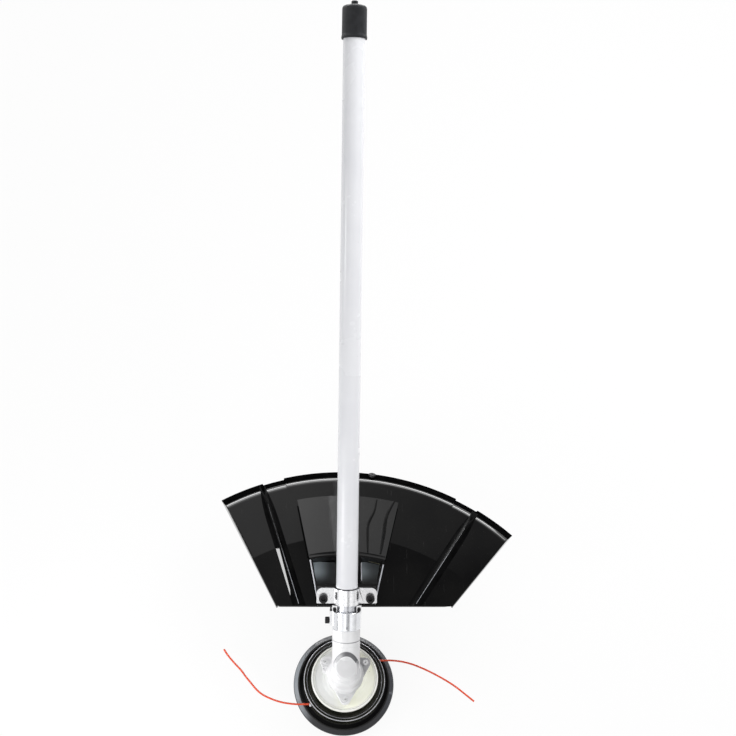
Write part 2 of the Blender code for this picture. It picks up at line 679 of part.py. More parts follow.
def place_wire(name, route, radius, finish, frame, resolution=2):
    """A round wire or cord along points that are given in millimetres."""
    curve = bpy.data.curves.new(name, "CURVE")
    curve.dimensions = "3D"
    curve.bevel_depth = radius * MM
    curve.bevel_resolution = resolution
    curve.use_fill_caps = True
    spline = curve.splines.new("POLY")
    spline.points.add(len(route) - 1)
    for point, place_at in zip(spline.points, route):
        point.co = (*[value * MM for value in place_at], 1.0)
    curve.materials.append(finish)
    wire = bpy.data.objects.new(name, curve)
    bpy.context.scene.collection.objects.link(wire)
    wire.parent = frame
    return wire


def build_spool(finishes, head_frame, knob_frame):
    """The spool, the line wound on it, the knob that taps the ground and its spring."""
    spool = turned([(15.0, 14.2), (SPOOL_RADIUS, 14.2), (SPOOL_RADIUS, 16.4), (19.0, 16.4),
                    (19.0, 34.6), (SPOOL_RADIUS, 34.6), (SPOOL_RADIUS, 36.8), (15.0, 36.8)], 36)
    place("spool", spool, finishes["black"], knob_frame)
    place("wound_line", turned([(19.0 + GAP, 16.7), (38.0, 16.7), (40.0, 18.7), (40.0, 32.3),
                                (38.0, 34.3), (19.0 + GAP, 34.3)], 36), finishes["line"], knob_frame)
    knob = turned([(0.0, 0.0), (18.0, 0.0), (24.5, 2.2), (KNOB_RADIUS, 6.6), (KNOB_RADIUS, 13.8),
                   (14.7, 13.8), (14.7, 19.6), (0.0, 19.6)], 36)
    place("bump_knob", knob, finishes["black"], knob_frame)
    place_wire("spool_spring", spring_route(4, 12.0, 20.9, 41.3), 0.8, finishes["steel"], head_frame, 1)


def smooth_route(points, spacing):
    """Read evenly spaced points from a smooth curve through the route's own points."""
    nodes = [Vector(point) for point in points]
    nodes = [2 * nodes[0] - nodes[1]] + nodes + [2 * nodes[-1] - nodes[-2]]
    dense = []
    for index in range(1, len(nodes) - 2):
        before, start, end, after = nodes[index - 1:index + 3]
        for step in range(24):
            t = step / 24
            dense.append(0.5 * (2 * start + (end - before) * t
                                + (2 * before - 5 * start + 4 * end - after) * t * t
                                + (3 * start - before - 3 * end + after) * t ** 3))
    dense.append(nodes[-2])
    route = [dense[0]]
    for point in dense[1:-1]:
        if (point - route[-1]).length >= spacing:
            route.append(point)
    route.append(dense[-1])
    return route


def build_lines(finishes, frame):
    """The two free ends of trimmer line."""
    for name, points in (("trimmer_line_right", RIGHT_LINE_ROUTE), ("trimmer_line_left", LEFT_LINE_ROUTE)):
        route = smooth_route(points, 2.5 * LINE_DIAMETER)
        place_wire(name, route, LINE_DIAMETER / 2, finishes["line"], frame)


def plate_height(radius):
    """Top of the guard's plate: level inside the crease, falling gently outside it."""
    share = max(0.0, (radius - CREASE_RADIUS) / (BEND_RADIUS - CREASE_RADIUS))
    return PLATE_TOP - BEND_DROP * share


def guard_section(angle, recessed, flanged):
    """One section of the guard's shell along a ray, as 3-D points."""
    front = fan_ray((FAN_FRONT - FAN_CENTRE[1] + SPLAY) / math.cos(math.radians(angle)), angle)
    foot = SKIRT_RADIUS - (SKIRT_RECESS if recessed else 0.0)
    bend = BEND_RADIUS - (0.4 * SKIRT_RECESS if recessed else 0.0)
    edge = plate_height(bend)
    arcs = [(CREASE_RADIUS, PLATE_TOP), (bend - 3.0, edge), (bend - 0.9, edge - 0.5), (bend, edge - 1.8),
            (foot, SKIRT_FOOT), (foot - SKIRT_WALL, SKIRT_FOOT)]
    if flanged:
        front_depth = SIDE_FLANGE_FRONT
        arcs += [(bend - 3.6, edge - SIDE_FLANGE_BACK),
                 (CREASE_RADIUS, PLATE_TOP - 0.5 * (SIDE_FLANGE_FRONT + SIDE_FLANGE_BACK))]
    else:
        front_depth = PLATE_THICK
        arcs += [(bend - 3.6, edge - PLATE_THICK), (CREASE_RADIUS, PLATE_TOP - PLATE_THICK)]
    section = [(*fan_point(radius, angle), height) for radius, height in arcs]
    return [(*front, PLATE_TOP), *section, (*front, PLATE_TOP - front_depth)]


def guard_shell():
    """The fan-shaped plate with its flared skirt, side flanges and skirt recesses."""
    inner_left = FAN_LEFT + FLANGE_ANGLE
    inner_right = FAN_RIGHT - FLANGE_ANGLE
    stations = [(FAN_LEFT, False, True), (inner_left, False, True), (inner_left, False, False)]
    spans = ((inner_left, RECESS_LEFT[0], False), (*RECESS_LEFT, True),
             (RECESS_LEFT[1], RECESS_RIGHT[0], False), (*RECESS_RIGHT, True),
             (RECESS_RIGHT[1], inner_right, False))
    for start, end, recessed in spans:
        count = max(1, round((end - start) / 4.5))
        stations += [(start + (end - start) * i / count, recessed, False) for i in range(count + 1)]
    stations += [(inner_right, False, True), (FAN_RIGHT, False, True)]
    return loft([guard_section(*station) for station in stations])


def rib_place(line, distance):
    """A place along a rib, the direction across it, and the plate's height there."""
    near, far = Vector(line[0]), Vector(line[1])
    along = (far - near).normalized()
    spot = near + distance * along
    across = Vector((along.y, -along.x))
    return spot, across, plate_height((spot - Vector(FAN_CENTRE)).length)


def rib_length(line):
    """How long a rib is."""
    return (Vector(line[1]) - Vector(line[0])).length


def rib_arch(line, shrink, start, overrun):
    """A pointed arch that widens along a rib. Its legs reach down to the skirt past the bend."""
    length = rib_length(line)
    loops = []
    wide, high = RIB_SHOULDER
    for distance, hangs in ((start, False), (0.5 * (start + length), False), (length - RIB_OVERHANG, False),
                            (length + overrun, True)):
        spot, across, base = rib_place(line, distance)
        size = RIB_HALF + RIB_WIDENING * distance / length - shrink
        foot = base - (RIB_CUT_FOOT if shrink else RIB_FOOT)
        if hangs and not shrink:
            foot = SKIRT_FOOT + RIB_END_FOOT
        outline = [(-size, foot), (-size, base), (-wide * size, base + high * size),
                   (0.0, base + RIB_CREST * size), (wide * size, base + high * size), (size, base), (size, foot)]
        loops.append([(spot.x + side * across.x, spot.y + side * across.y, height)
                      for side, height in outline])
    return loft(loops)


def rib_mouth(line):
    """The slanting cut that opens a rib's outer end."""
    near = rib_length(line) - RIB_MOUTH
    far = rib_length(line) + RIB_OVERRUN
    outline = []
    for distance, rise in ((near, MOUTH_RISES[0]), (far, MOUTH_RISES[1]), (far, MOUTH_TOP), (near, MOUTH_TOP)):
        spot, across, base = rib_place(line, distance)
        outline.append((spot, across, base + rise))
    return loft([[(spot.x + side * across.x, spot.y + side * across.y, height)
                  for spot, across, height in outline] for side in (-MOUTH_HALF, MOUTH_HALF)])


def panel_wedge(drop, inset_angle, inset_radius):
    """The raised panel that falls from the ridge back to the plate."""
    count = 8
    left = PANEL_LEFT + inset_angle
    right = PANEL_RIGHT - inset_angle
    near = RIDGE_RADIUS - 4.0 + inset_radius
    far = PANEL_END_RADIUS - inset_radius
    angles = [left + (right - left) * i / count for i in range(count + 1)]
    foot = PLATE_TOP - (1.5 if drop == 0.0 else 8.0)
    near_top = RIDGE_TOP - drop
    far_top = plate_height(PANEL_END_RADIUS) + 1.0 - drop
    low = [(*fan_point(near, a), foot) for a in angles] + [(*fan_point(far, a), foot - 2.0)
                                                          for a in reversed(angles)]
    high = [(*fan_point(near, a), near_top) for a in angles]
    high += [(*fan_point(far, a), far_top) for a in reversed(angles)]
    return loft([low, high])


def tube_frame_point(side, station, rise):
    """World place of a point given beside, along and above the tube's axis."""
    along = Vector((0.0, math.sin(TUBE_LEAN), math.cos(TUBE_LEAN)))
    above = Vector((0.0, -math.cos(TUBE_LEAN), math.sin(TUBE_LEAN)))
    return Vector((side, 0.0, CROSS_HEIGHT)) + station * along + rise * above


def seat_block():
    """The wedge under the clamp: its top is parallel to the tube."""
    low_front = tube_frame_point(0.0, CLAMP_FOOT - 1.0, -SEAT_DEPTH)
    low_back = tube_frame_point(0.0, CLAMP_FOOT + CLAMP_LENGTH + 1.0, -SEAT_DEPTH)
    foot = PLATE_TOP - 1.5
    profile = [(FAN_FRONT + 1.2, foot), (low_front.y, low_front.z), (low_back.y, low_back.z),
               (low_back.y + 3.0, foot)]
    half = EAR_REACH - 1.0
    return loft([[(side, y, z) for y, z in profile] for side in (-half, half)])


def box_rim():
    """Body between the clamp seat and the ridge, with its sloping pocket left for a cut."""
    arc = [fan_point(RIDGE_RADIUS, PANEL_RIGHT + (PANEL_LEFT - PANEL_RIGHT) * i / 6) for i in range(7)]
    half = EAR_REACH - 1.0
    foot = PLATE_TOP - RIM_FOOT
    top = [(-half, RIM_FRONT, RIM_FRONT_TOP), (half, RIM_FRONT, RIM_FRONT_TOP)]
    top += [(0.985 * x, y, RIDGE_TOP) for x, y in arc]
    return loft([[(x, y, foot) for x, y in [(-half, RIM_FRONT), (half, RIM_FRONT)] + arc], top])


def pocket_cut():
    """The open pocket between the clamp and the ridge, with a thin cheek left at each side."""
    rows = []
    for inset, near, back in POCKET_ROWS:
        left = EAR_REACH + POCKET_FLARE[0] - CHEEK - inset
        right = EAR_REACH + POCKET_FLARE[1] - CHEEK - inset
        turn = math.degrees((CHEEK + inset) / RIDGE_RADIUS)
        row = [(-left, near), (right, near)]
        for i in range(7):
            angle = PANEL_RIGHT - turn + (PANEL_LEFT - PANEL_RIGHT + 2 * turn) * i / 6
            row.append(fan_point(RIDGE_RADIUS - back, angle))
        rows.append(row)
    floor, mouth = rows
    return loft([[(x, y, PLATE_TOP + POCKET_FLOOR) for x, y in floor],
                 [(x, y, POCKET_MOUTH) for x, y in mouth]])


def in_spin_frame(shape, frame, spin_frame):
    """Bring a shape that was made along the tube into the spin axis frame."""
    bmesh.ops.transform(shape, matrix=spin_frame.matrix_world.inverted() @ frame.matrix_world,
                        verts=shape.verts)
    return shape


def across_tube(shape, station, side=0.0, rise=0.0):
    """Stand a shape made along Z on the tube, so that its Z points away above the tube."""
    moved(shape, turn=(math.radians(90.0), "X"))
    return moved(shape, (side, -rise, station))


def cutter_frame_point(along, out):
    """A place on the skirt's inner face at the cutter: radius and height."""
    low = (SKIRT_RADIUS - SKIRT_WALL, SKIRT_FOOT)
    edge = plate_height(BEND_RADIUS)
    high = (BEND_RADIUS - 3.6, edge - PLATE_THICK)
    direction = Vector((low[0] - high[0], low[1] - high[1])).normalized()
    normal = Vector((-direction.y, direction.x))
    spot = Vector(high) + along * direction + out * normal
    return (spot.x, spot.y)


def skirt_normal_angle():
    """How far the skirt's outward normal stands above the level."""
    low = cutter_frame_point(20.0, 0.0)
    high = cutter_frame_point(0.0, 0.0)
    return math.atan2(low[0] - high[0], high[1] - low[1])


def on_skirt(shape, along, out):
    """Stand a shape made along Z on the skirt at the cutter, its Z pointing outwards."""
    radius, height = cutter_frame_point(along, out)
    moved(shape, turn=(math.pi / 2 - skirt_normal_angle(), "X"))
    moved(shape, turn=(math.pi, "Z"))
    moved(shape, (0.0, radius, height))
    moved(shape, turn=(math.radians(-CUTTER_ANGLE), "Z"))
    return moved(shape, (FAN_CENTRE[0], FAN_CENTRE[1], 0.0))


def build_guard(finishes, tube_frame, spin_frame):
    """The moulded guard, seated under the tube."""
    guard = place("guard", guard_shell(), finishes["gloss_black"], spin_frame)
    carve(guard, "UNION", [box_rim(), panel_wedge(0.0, 0.0, 0.0), seat_block()])
    carve(guard, "DIFFERENCE", [panel_wedge(3.0, 0.9, 8.0), pocket_cut()])
    carve(guard, "UNION", [rib_arch(line, 0.0, 0.0, 0.0) for line in RIB_LINES])
    boss = on_skirt(disc(6.6, 0.0, SKIRT_WALL + 1.6, 24), 11.0, 0.4)
    carve(guard, "UNION", [boss])
    cuts = [rib_arch(line, RIB_WALL, RIB_CUT_START, RIB_OVERRUN) for line in RIB_LINES]
    cuts += [rib_mouth(line) for line in RIB_LINES]
    cuts.append(on_skirt(disc(2.8, -8.0, 12.0, 16), 11.0, 0.0))
    cuts.append(in_spin_frame(disc(TUBE_RADIUS + GAP, 60.0, 160.0, 32), tube_frame, spin_frame))
    cuts.append(in_spin_frame(disc(COLLAR_RADIUS + 1.0, 50.0, NECK_END + 0.6, 32), tube_frame, spin_frame))
    for side in (-BOLT_SIDE, BOLT_SIDE):
        hole = across_tube(disc(BOLT_RADIUS + GAP, -40.0, 10.0, 16), BOLT_STATION, side)
        cuts.append(in_spin_frame(hole, tube_frame, spin_frame))
        pocket = across_tube(prism(circle(NUT_ACROSS + 0.5, 6), -40.0, -13.6), BOLT_STATION, side)
        cuts.append(in_spin_frame(pocket, tube_frame, spin_frame))
    carve(guard, "DIFFERENCE", cuts)


def build_guard_clamp(finishes, frame):
    """The bright clamp over the tube, its two bolts and their nuts."""
    ears = []
    for side in (-1, 1):
        inner = 8.0
        near, far = EAR_CORNERS
        outline = []
        for corner, centre, start in ((near, CLAMP_FOOT + near, -90.0),
                                      (far, CLAMP_FOOT + CLAMP_LENGTH - far, 0.0)):
            for step in range(6):
                turn = math.radians(start + 18.0 * step)
                outline.append((side * (EAR_REACH - corner + corner * math.cos(turn)),
                                centre + corner * math.sin(turn)))
        outline += [(side * inner, CLAMP_FOOT + CLAMP_LENGTH), (side * inner, CLAMP_FOOT)]
        ears.append(loft([[(x, -height, station) for x, station in outline]
                          for height in (EAR_TOP - EAR_THICK, EAR_TOP)]))
    clamp = place("guard_clamp", disc(SADDLE_RADIUS, CLAMP_FOOT, CLAMP_FOOT + CLAMP_LENGTH, 36),
                  finishes["aluminium"], frame)
    carve(clamp, "DIFFERENCE", [block((-30.0, EAR_THICK - EAR_TOP, 70.0), (30.0, 30.0, 120.0))])
    carve(clamp, "UNION", ears)
    holes = [across_tube(disc(BOLT_RADIUS + GAP, -10.0, 10.0, 20), BOLT_STATION, side)
             for side in (-BOLT_SIDE, BOLT_SIDE)]
    carve(clamp, "DIFFERENCE", [disc(TUBE_RADIUS + GAP, 60.0, 130.0, 36)] + holes)

    for name, side in SIDES:
        bolt = socket_screw(BOLT_HEAD_RADIUS, 5.6, BOLT_RADIUS, 20.6, 2.9)
        across_tube(bolt, BOLT_STATION, side * BOLT_SIDE, EAR_TOP + GAP)
        place(f"clamp_bolt_{name}", bolt, finishes["black_steel"], frame)
        nut = hexagon_nut(NUT_ACROSS, BOLT_RADIUS + GAP, -18.8, -14.0)
        across_tube(nut, BOLT_STATION, side * BOLT_SIDE)
        place(f"clamp_nut_{name}", nut, finishes["zinc"], frame)


def hexagon_nut(corner, bore, low, high):
    """A hexagon nut with a round bore."""
    outside = hexagon_outline(corner)
    inside = circle(bore, 12)
    loops = [[(x, y, low) for x, y in outside], [(x, y, high) for x, y in outside],
             [(x, y, high) for x, y in inside], [(x, y, low) for x, y in inside]]
    return gear_solid(loops, True)


def build_line_cutter(finishes, frame):
    """The blade that trims the line to length, and the screw and nut that hold it on the skirt."""
    thick = 1.4
    slope = [cutter_frame_point(along, -CUTTER_SETBACK) for along in (4.0, 19.0)]
    tip = (slope[1][0], 86.0)
    inner = [cutter_frame_point(along, -CUTTER_SETBACK - thick) for along in (4.0, 18.5)]
    profile = [slope[0], slope[1], tip, (tip[0] - thick, tip[1] + 2.0), (tip[0] - thick, inner[1][1]),
               inner[1], inner[0]]
    half = CUTTER_WIDTH / 2
    blade = loft([[(side, y, z) for y, z in profile] for side in (-half, half)])
    moved(blade, turn=(math.radians(-CUTTER_ANGLE), "Z"))
    moved(blade, (FAN_CENTRE[0], FAN_CENTRE[1], 0.0))
    cutter = place("line_cutter", blade, finishes["zinc"], frame)
    carve(cutter, "DIFFERENCE", [on_skirt(disc(2.8, -8.0, 12.0, 16), 11.0, 0.0)])
    screw = on_skirt(socket_screw(4.6, 3.0, 2.5, 13.0, 1.9), 11.0, SKIRT_WALL + 2.0 + GAP)
    place("cutter_screw", screw, finishes["black_steel"], frame)
    nut = on_skirt(hexagon_nut(4.6, 2.8, -3.8, 0.0), 11.0, -CUTTER_SETBACK - thick - GAP)
    place("cutter_nut", nut, finishes["zinc"], frame)


def build():
    """Build every piece of the attachment."""
    clear_scene()
    finishes = {
        "white": make_finish("white_powder_coat", (0.86, 0.87, 0.9), 0.35),
        "cap": make_finish("cap_black_plastic", (0.02, 0.022, 0.026), 0.5),
        "rubber": make_finish("black_rubber", (0.03, 0.03, 0.03), 0.8),
        "steel": make_finish("ground_steel", (0.55, 0.56, 0.58), 0.3, 1.0),
        "dark_steel": make_finish("dark_spring_steel", (0.12, 0.12, 0.13), 0.4, 1.0),
        "black_steel": make_finish("black_oxide_steel", (0.03, 0.03, 0.03), 0.35, 0.8),
        "zinc": make_finish("zinc_plated_steel", (0.7, 0.71, 0.73), 0.3, 1.0),
        "cast": make_finish("painted_casting", (0.72, 0.72, 0.74), 0.4, 0.1),
        "aluminium": make_finish("bright_aluminium", (0.82, 0.83, 0.86), 0.22, 1.0),
        "cream": make_finish("cream_painted_steel", (0.8, 0.79, 0.68), 0.45),
        "black": make_finish("black_nylon", (0.02, 0.02, 0.02), 0.35),
        "gloss_black": make_finish("gloss_black_plastic", (0.012, 0.012, 0.014), 0.12),
        "slate": make_finish("slate_nylon", (0.07, 0.08, 0.095), 0.5),
        "line": make_finish("orange_line", (0.75, 0.07, 0.025), 0.45),
    }
    spin_frame = make_frame("spin_axis")
    tube_frame = make_frame("tube_axis", CROSS_HEIGHT, TUBE_LEAN)
    input_frame = make_frame("input_axis", CROSS_HEIGHT, TUBE_LEAN)
    cap_frame = make_frame("cap_axis", CROSS_HEIGHT, TUBE_LEAN)
    head_frame = make_frame("head_axis")
    knob_frame = make_frame("knob_axis", parent=head_frame)
    bpy.context.view_layer.update()

    build_tube(finishes, tube_frame)
    build_cap(finishes, cap_frame)
    build_input_train(finishes, input_frame)
    build_bearings(finishes, tube_frame, spin_frame)
    build_gearcase(finishes, tube_frame, spin_frame)
    build_gearcase_screws(finishes, tube_frame, spin_frame)
    build_output_train(finishes, head_frame)
    build_dust_cover(finishes, spin_frame)
    build_head(finishes, head_frame)
    build_spool(finishes, head_frame, knob_frame)
    build_lines(finishes, head_frame)
    build_guard(finishes, tube_frame, spin_frame)
    build_guard_clamp(finishes, tube_frame)
    build_line_cutter(finishes, spin_frame)


build()
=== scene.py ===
import json
import math

import bmesh
import bpy
from mathutils import Matrix, Vector

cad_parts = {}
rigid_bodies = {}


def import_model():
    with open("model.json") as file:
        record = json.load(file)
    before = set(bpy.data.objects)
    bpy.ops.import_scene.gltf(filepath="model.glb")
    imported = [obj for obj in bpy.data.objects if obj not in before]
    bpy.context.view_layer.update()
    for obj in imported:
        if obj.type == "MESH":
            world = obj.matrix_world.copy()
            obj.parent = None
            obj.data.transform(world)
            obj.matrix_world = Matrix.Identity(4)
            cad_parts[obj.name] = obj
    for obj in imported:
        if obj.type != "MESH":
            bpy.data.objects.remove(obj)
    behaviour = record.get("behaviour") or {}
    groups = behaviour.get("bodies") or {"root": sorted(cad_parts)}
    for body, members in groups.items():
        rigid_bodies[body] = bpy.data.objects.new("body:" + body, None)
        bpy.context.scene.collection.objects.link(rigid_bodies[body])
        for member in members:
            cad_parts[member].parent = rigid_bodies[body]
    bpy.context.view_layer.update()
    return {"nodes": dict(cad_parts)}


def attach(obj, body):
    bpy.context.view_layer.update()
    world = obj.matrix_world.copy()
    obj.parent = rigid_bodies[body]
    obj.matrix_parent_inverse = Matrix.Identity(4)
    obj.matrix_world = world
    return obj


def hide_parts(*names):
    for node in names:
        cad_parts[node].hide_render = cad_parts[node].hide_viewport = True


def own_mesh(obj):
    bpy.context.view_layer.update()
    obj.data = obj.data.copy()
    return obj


# Looks of the string trimmer attachment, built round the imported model.
# Lengths in the builders are millimetres, turned into metres by MM. The frame is the CAD model's:
# Z up along the spin axis of the trimmer head, the drive tube rising backwards towards +Y.

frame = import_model()

MM = 0.001
GAP = 0.3
SHARP_DEGREES = 32.0
SIDES = (("right", 1), ("left", -1))
TUBE_LEAN = math.radians(60.0)
CROSS_HEIGHT = 100.0
TUBE = Matrix.Translation((0.0, 0.0, CROSS_HEIGHT * MM)) @ Matrix.Rotation(-TUBE_LEAN, 4, "X")

# The photograph's view: place of the camera, elevation, azimuth, roll and focal length in pixels
CAMERA_PLACE = Vector((-0.0501, -0.2934, 1.5967))
CAMERA_ELEVATION = math.radians(64.75)
CAMERA_AZIMUTH = math.radians(-6.66)
CAMERA_ROLL = math.radians(6.63)
FOCAL_PIXELS = 1218.0
PHOTO_SIDE = 736
SENSOR = 36.0

# Trimmer line, from the eyelet outwards, as in the CAD source
LINE_DIAMETER = 2.4
LINE_ROUTES = {
    "right": (
        (44.0, 27.0, 32.0), (52.0, 27.2, 32.0), (58.0, 27.3, 32.0), (64.3, 27.0, 31.9),
        (70.5, 26.3, 31.8), (77.0, 25.2, 31.6), (88.0, 22.3, 31.2), (100.0, 17.6, 30.8),
        (112.0, 12.1, 30.2), (124.0, 5.8, 29.6), (136.0, -1.3, 29.0), (144.0, -6.8, 28.6),
        (151.8, -12.9, 28.2), (158.6, -18.4, 27.9), (165.0, -23.6, 27.6)),
    "left": (
        (-44.0, -27.0, 32.0), (-52.0, -27.1, 32.0), (-58.0, -27.1, 32.0), (-65.2, -26.6, 31.9),
        (-74.5, -25.3, 31.7), (-83.7, -23.0, 31.4), (-93.5, -19.3, 31.0), (-102.7, -14.7, 30.6),
        (-110.5, -8.3, 30.2), (-117.5, -0.2, 29.7), (-124.2, 7.7, 29.2), (-130.2, 15.6, 28.8),
        (-137.2, 22.9, 28.4), (-143.9, 30.3, 28.0), (-149.3, 36.9, 27.7), (-153.1, 42.6, 27.5)),
}


# Camera

def linked(name, data):
    """An object for some data, in the scene."""
    made = bpy.data.objects.new(name, data)
    bpy.context.scene.collection.objects.link(made)
    return made


def make_camera():
    """The camera at the photograph's place and angle."""
    data = bpy.data.cameras.new("photo_camera")
    data.sensor_width = SENSOR
    data.lens = FOCAL_PIXELS * SENSOR / PHOTO_SIDE
    data.clip_start = 0.05
    data.clip_end = 50.0
    camera = linked("photo_camera", data)
    az, el, roll = CAMERA_AZIMUTH, CAMERA_ELEVATION, CAMERA_ROLL
    back = Vector((math.sin(az) * math.cos(el), -math.cos(az) * math.cos(el), math.sin(el)))
    level = Vector((math.cos(az), math.sin(az), 0.0))
    upward = back.cross(level)
    across = level * math.cos(roll) + upward * math.sin(roll)
    up = upward * math.cos(roll) - level * math.sin(roll)
    camera.matrix_world = Matrix.Translation(CAMERA_PLACE) @ Matrix((across, up, back)).transposed().to_4x4()
    bpy.context.scene.camera = camera


# Materials

def node(tree, kind, inputs=None, **settings):
    """Add a shader node, with its settings and its inputs: a value, or a socket to link from."""
    made = tree.nodes.new(kind)
    for key, value in settings.items():
        setattr(made, key, value)
    for key, value in (inputs or {}).items():
        if isinstance(value, bpy.types.NodeSocket):
            tree.links.new(value, made.inputs[key])
        else:
            made.inputs[key].default_value = value
    return made


def maths(tree, operation, first, second):
    """One sum on two values."""
    return node(tree, "ShaderNodeMath", {0: first, 1: second}, operation=operation).outputs[0]


def noise(tree, where, scale, detail=3.0, roughness=0.5, stretch=None):
    """Noise over the piece's own coordinates, between 0 and 1."""
    if stretch:
        where = node(tree, "ShaderNodeMapping", {"Vector": where, "Scale": stretch}).outputs["Vector"]
    inputs = {"Vector": where, "Scale": scale, "Detail": detail, "Roughness": roughness}
    return node(tree, "ShaderNodeTexNoise", inputs).outputs["Fac"]


def ranged(tree, value, low, high, to_low=0.0, to_high=1.0, smooth=True):
    """Map a value from one range to another."""
    inputs = {"Value": value, "From Min": low, "From Max": high, "To Min": to_low, "To Max": to_high}
    made = node(tree, "ShaderNodeMapRange", inputs)
    made.interpolation_type = "SMOOTHSTEP" if smooth else "LINEAR"
    return made.outputs["Result"]


def mixed(tree, share, first, second, blend="MIX"):
    """Mix two colours."""
    made = node(tree, "ShaderNodeMix", data_type="RGBA", blend_type=blend)
    for index, value in ((0, share), (6, first), (7, second)):
        if isinstance(value, bpy.types.NodeSocket):
            tree.links.new(value, made.inputs[index])
        else:
            made.inputs[index].default_value = value if index == 0 else (*value[:3], 1.0)
    return made.outputs[2]


def painted_light(tree, where, colour, tones):
    """Lay tones of painted light and shade over a colour. The product of a tone's ranges is its share."""
    axes = node(tree, "ShaderNodeSeparateXYZ", {"Vector": where}).outputs
    level = node(tree, "ShaderNodeVectorMath", {0: where, 1: (1.0, 1.0, 0.0)}, operation="MULTIPLY")
    radius = node(tree, "ShaderNodeVectorMath", {0: level.outputs[0]}, operation="LENGTH")
    station = node(tree, "ShaderNodeVectorMath", {0: where, 1: (0.0, 0.866, 0.5)}, operation="DOT_PRODUCT")
    places = {"x": axes["X"], "y": axes["Y"], "z": axes["Z"], "r": radius.outputs["Value"],
              "s": station.outputs["Value"]}
    for tone, *ranges in tones:
        share = 1.0
        for axis, low, high, to_low, to_high in ranges:
            part = ranged(tree, places[axis], low * MM, high * MM, to_low, to_high)
            share = maths(tree, "MULTIPLY", share, part)
        colour = mixed(tree, share, colour, tone)
    return colour


def finish(name, dark, light, rough, metallic, grain, stretch=None, bump=None, wear=None, specks=None,
           scratches=None, **sockets):
    """A procedural finish: two tones, uneven roughness, fine bump and, where asked, worn edges,
    specks, scratches and painted light and shade. Sockets are values that are the same all over the piece."""
    material = bpy.data.materials.new(name)
    material.use_nodes = True
    tree = material.node_tree
    shader = tree.nodes["Principled BSDF"]
    where = node(tree, "ShaderNodeTexCoord").outputs["Object"]
    broad = noise(tree, where, grain, 4.0, 0.55, stretch)
    colour = mixed(tree, ranged(tree, broad, 0.3, 0.7), dark, light)
    roughness = ranged(tree, broad, 0.25, 0.75, *rough)
    if scratches:
        tone, amount, strength = scratches
        lines = 0.0
        for turn, along in ((0.5, 30.0), (-0.9, 38.0), (1.4, 26.0)):
            spun = node(tree, "ShaderNodeMapping", {"Vector": where, "Rotation": (0.0, 0.0, turn),
                                                    "Scale": (along * 26.0, along, along * 26.0)})
            line = noise(tree, spun.outputs["Vector"], 1.0, 2.0)
            lines = maths(tree, "MAXIMUM", lines, ranged(tree, line, amount, amount + 0.03, 0.0, strength))
        colour = mixed(tree, lines, colour, tone)
        roughness = maths(tree, "ADD", roughness, maths(tree, "MULTIPLY", lines, 0.35))
    if specks:
        tone, scale, size = specks
        cells = node(tree, "ShaderNodeTexVoronoi", {"Vector": where, "Scale": scale}).outputs
        spot = ranged(tree, cells["Distance"], size * 0.5, size, 1.0, 0.0)
        picked = node(tree, "ShaderNodeSeparateColor", {"Color": cells["Color"]}).outputs["Red"]
        colour = mixed(tree, maths(tree, "MULTIPLY", spot, ranged(tree, picked, 0.82, 0.86)), colour, tone)
    if wear:
        tone, low, high = wear
        edge = node(tree, "ShaderNodeNewGeometry").outputs["Pointiness"]
        patchy = ranged(tree, noise(tree, where, 350.0, 4.0, 0.6), 0.3, 0.6, 0.35, 1.0)
        colour = mixed(tree, maths(tree, "MULTIPLY", ranged(tree, edge, low, high), patchy), colour, tone)
    if name in PAINTED_LIGHT_TONES:
        colour = painted_light(tree, where, colour, PAINTED_LIGHT_TONES[name])
    if bump:
        strength, scale = bump
        height = noise(tree, where, scale, 3.0, 0.6, stretch)
        bumped = node(tree, "ShaderNodeBump", {"Height": height, "Distance": 0.0004, "Strength": strength})
        tree.links.new(bumped.outputs["Normal"], shader.inputs["Normal"])
    tree.links.new(colour, shader.inputs["Base Color"])
    tree.links.new(roughness, shader.inputs["Roughness"])
    shader.inputs["Metallic"].default_value = metallic
    for key, value in sockets.items():
        shader.inputs[key.replace("_", " ")].default_value = value
    material.diffuse_color = (*light, 1.0)
    return material


def band(axis, low, high, edge):
    """Two ranges that are one between two values and fade out past them."""
    return (axis, low - edge, low + edge, 0.0, 1.0), (axis, high - edge, high + edge, 1.0, 0.0)
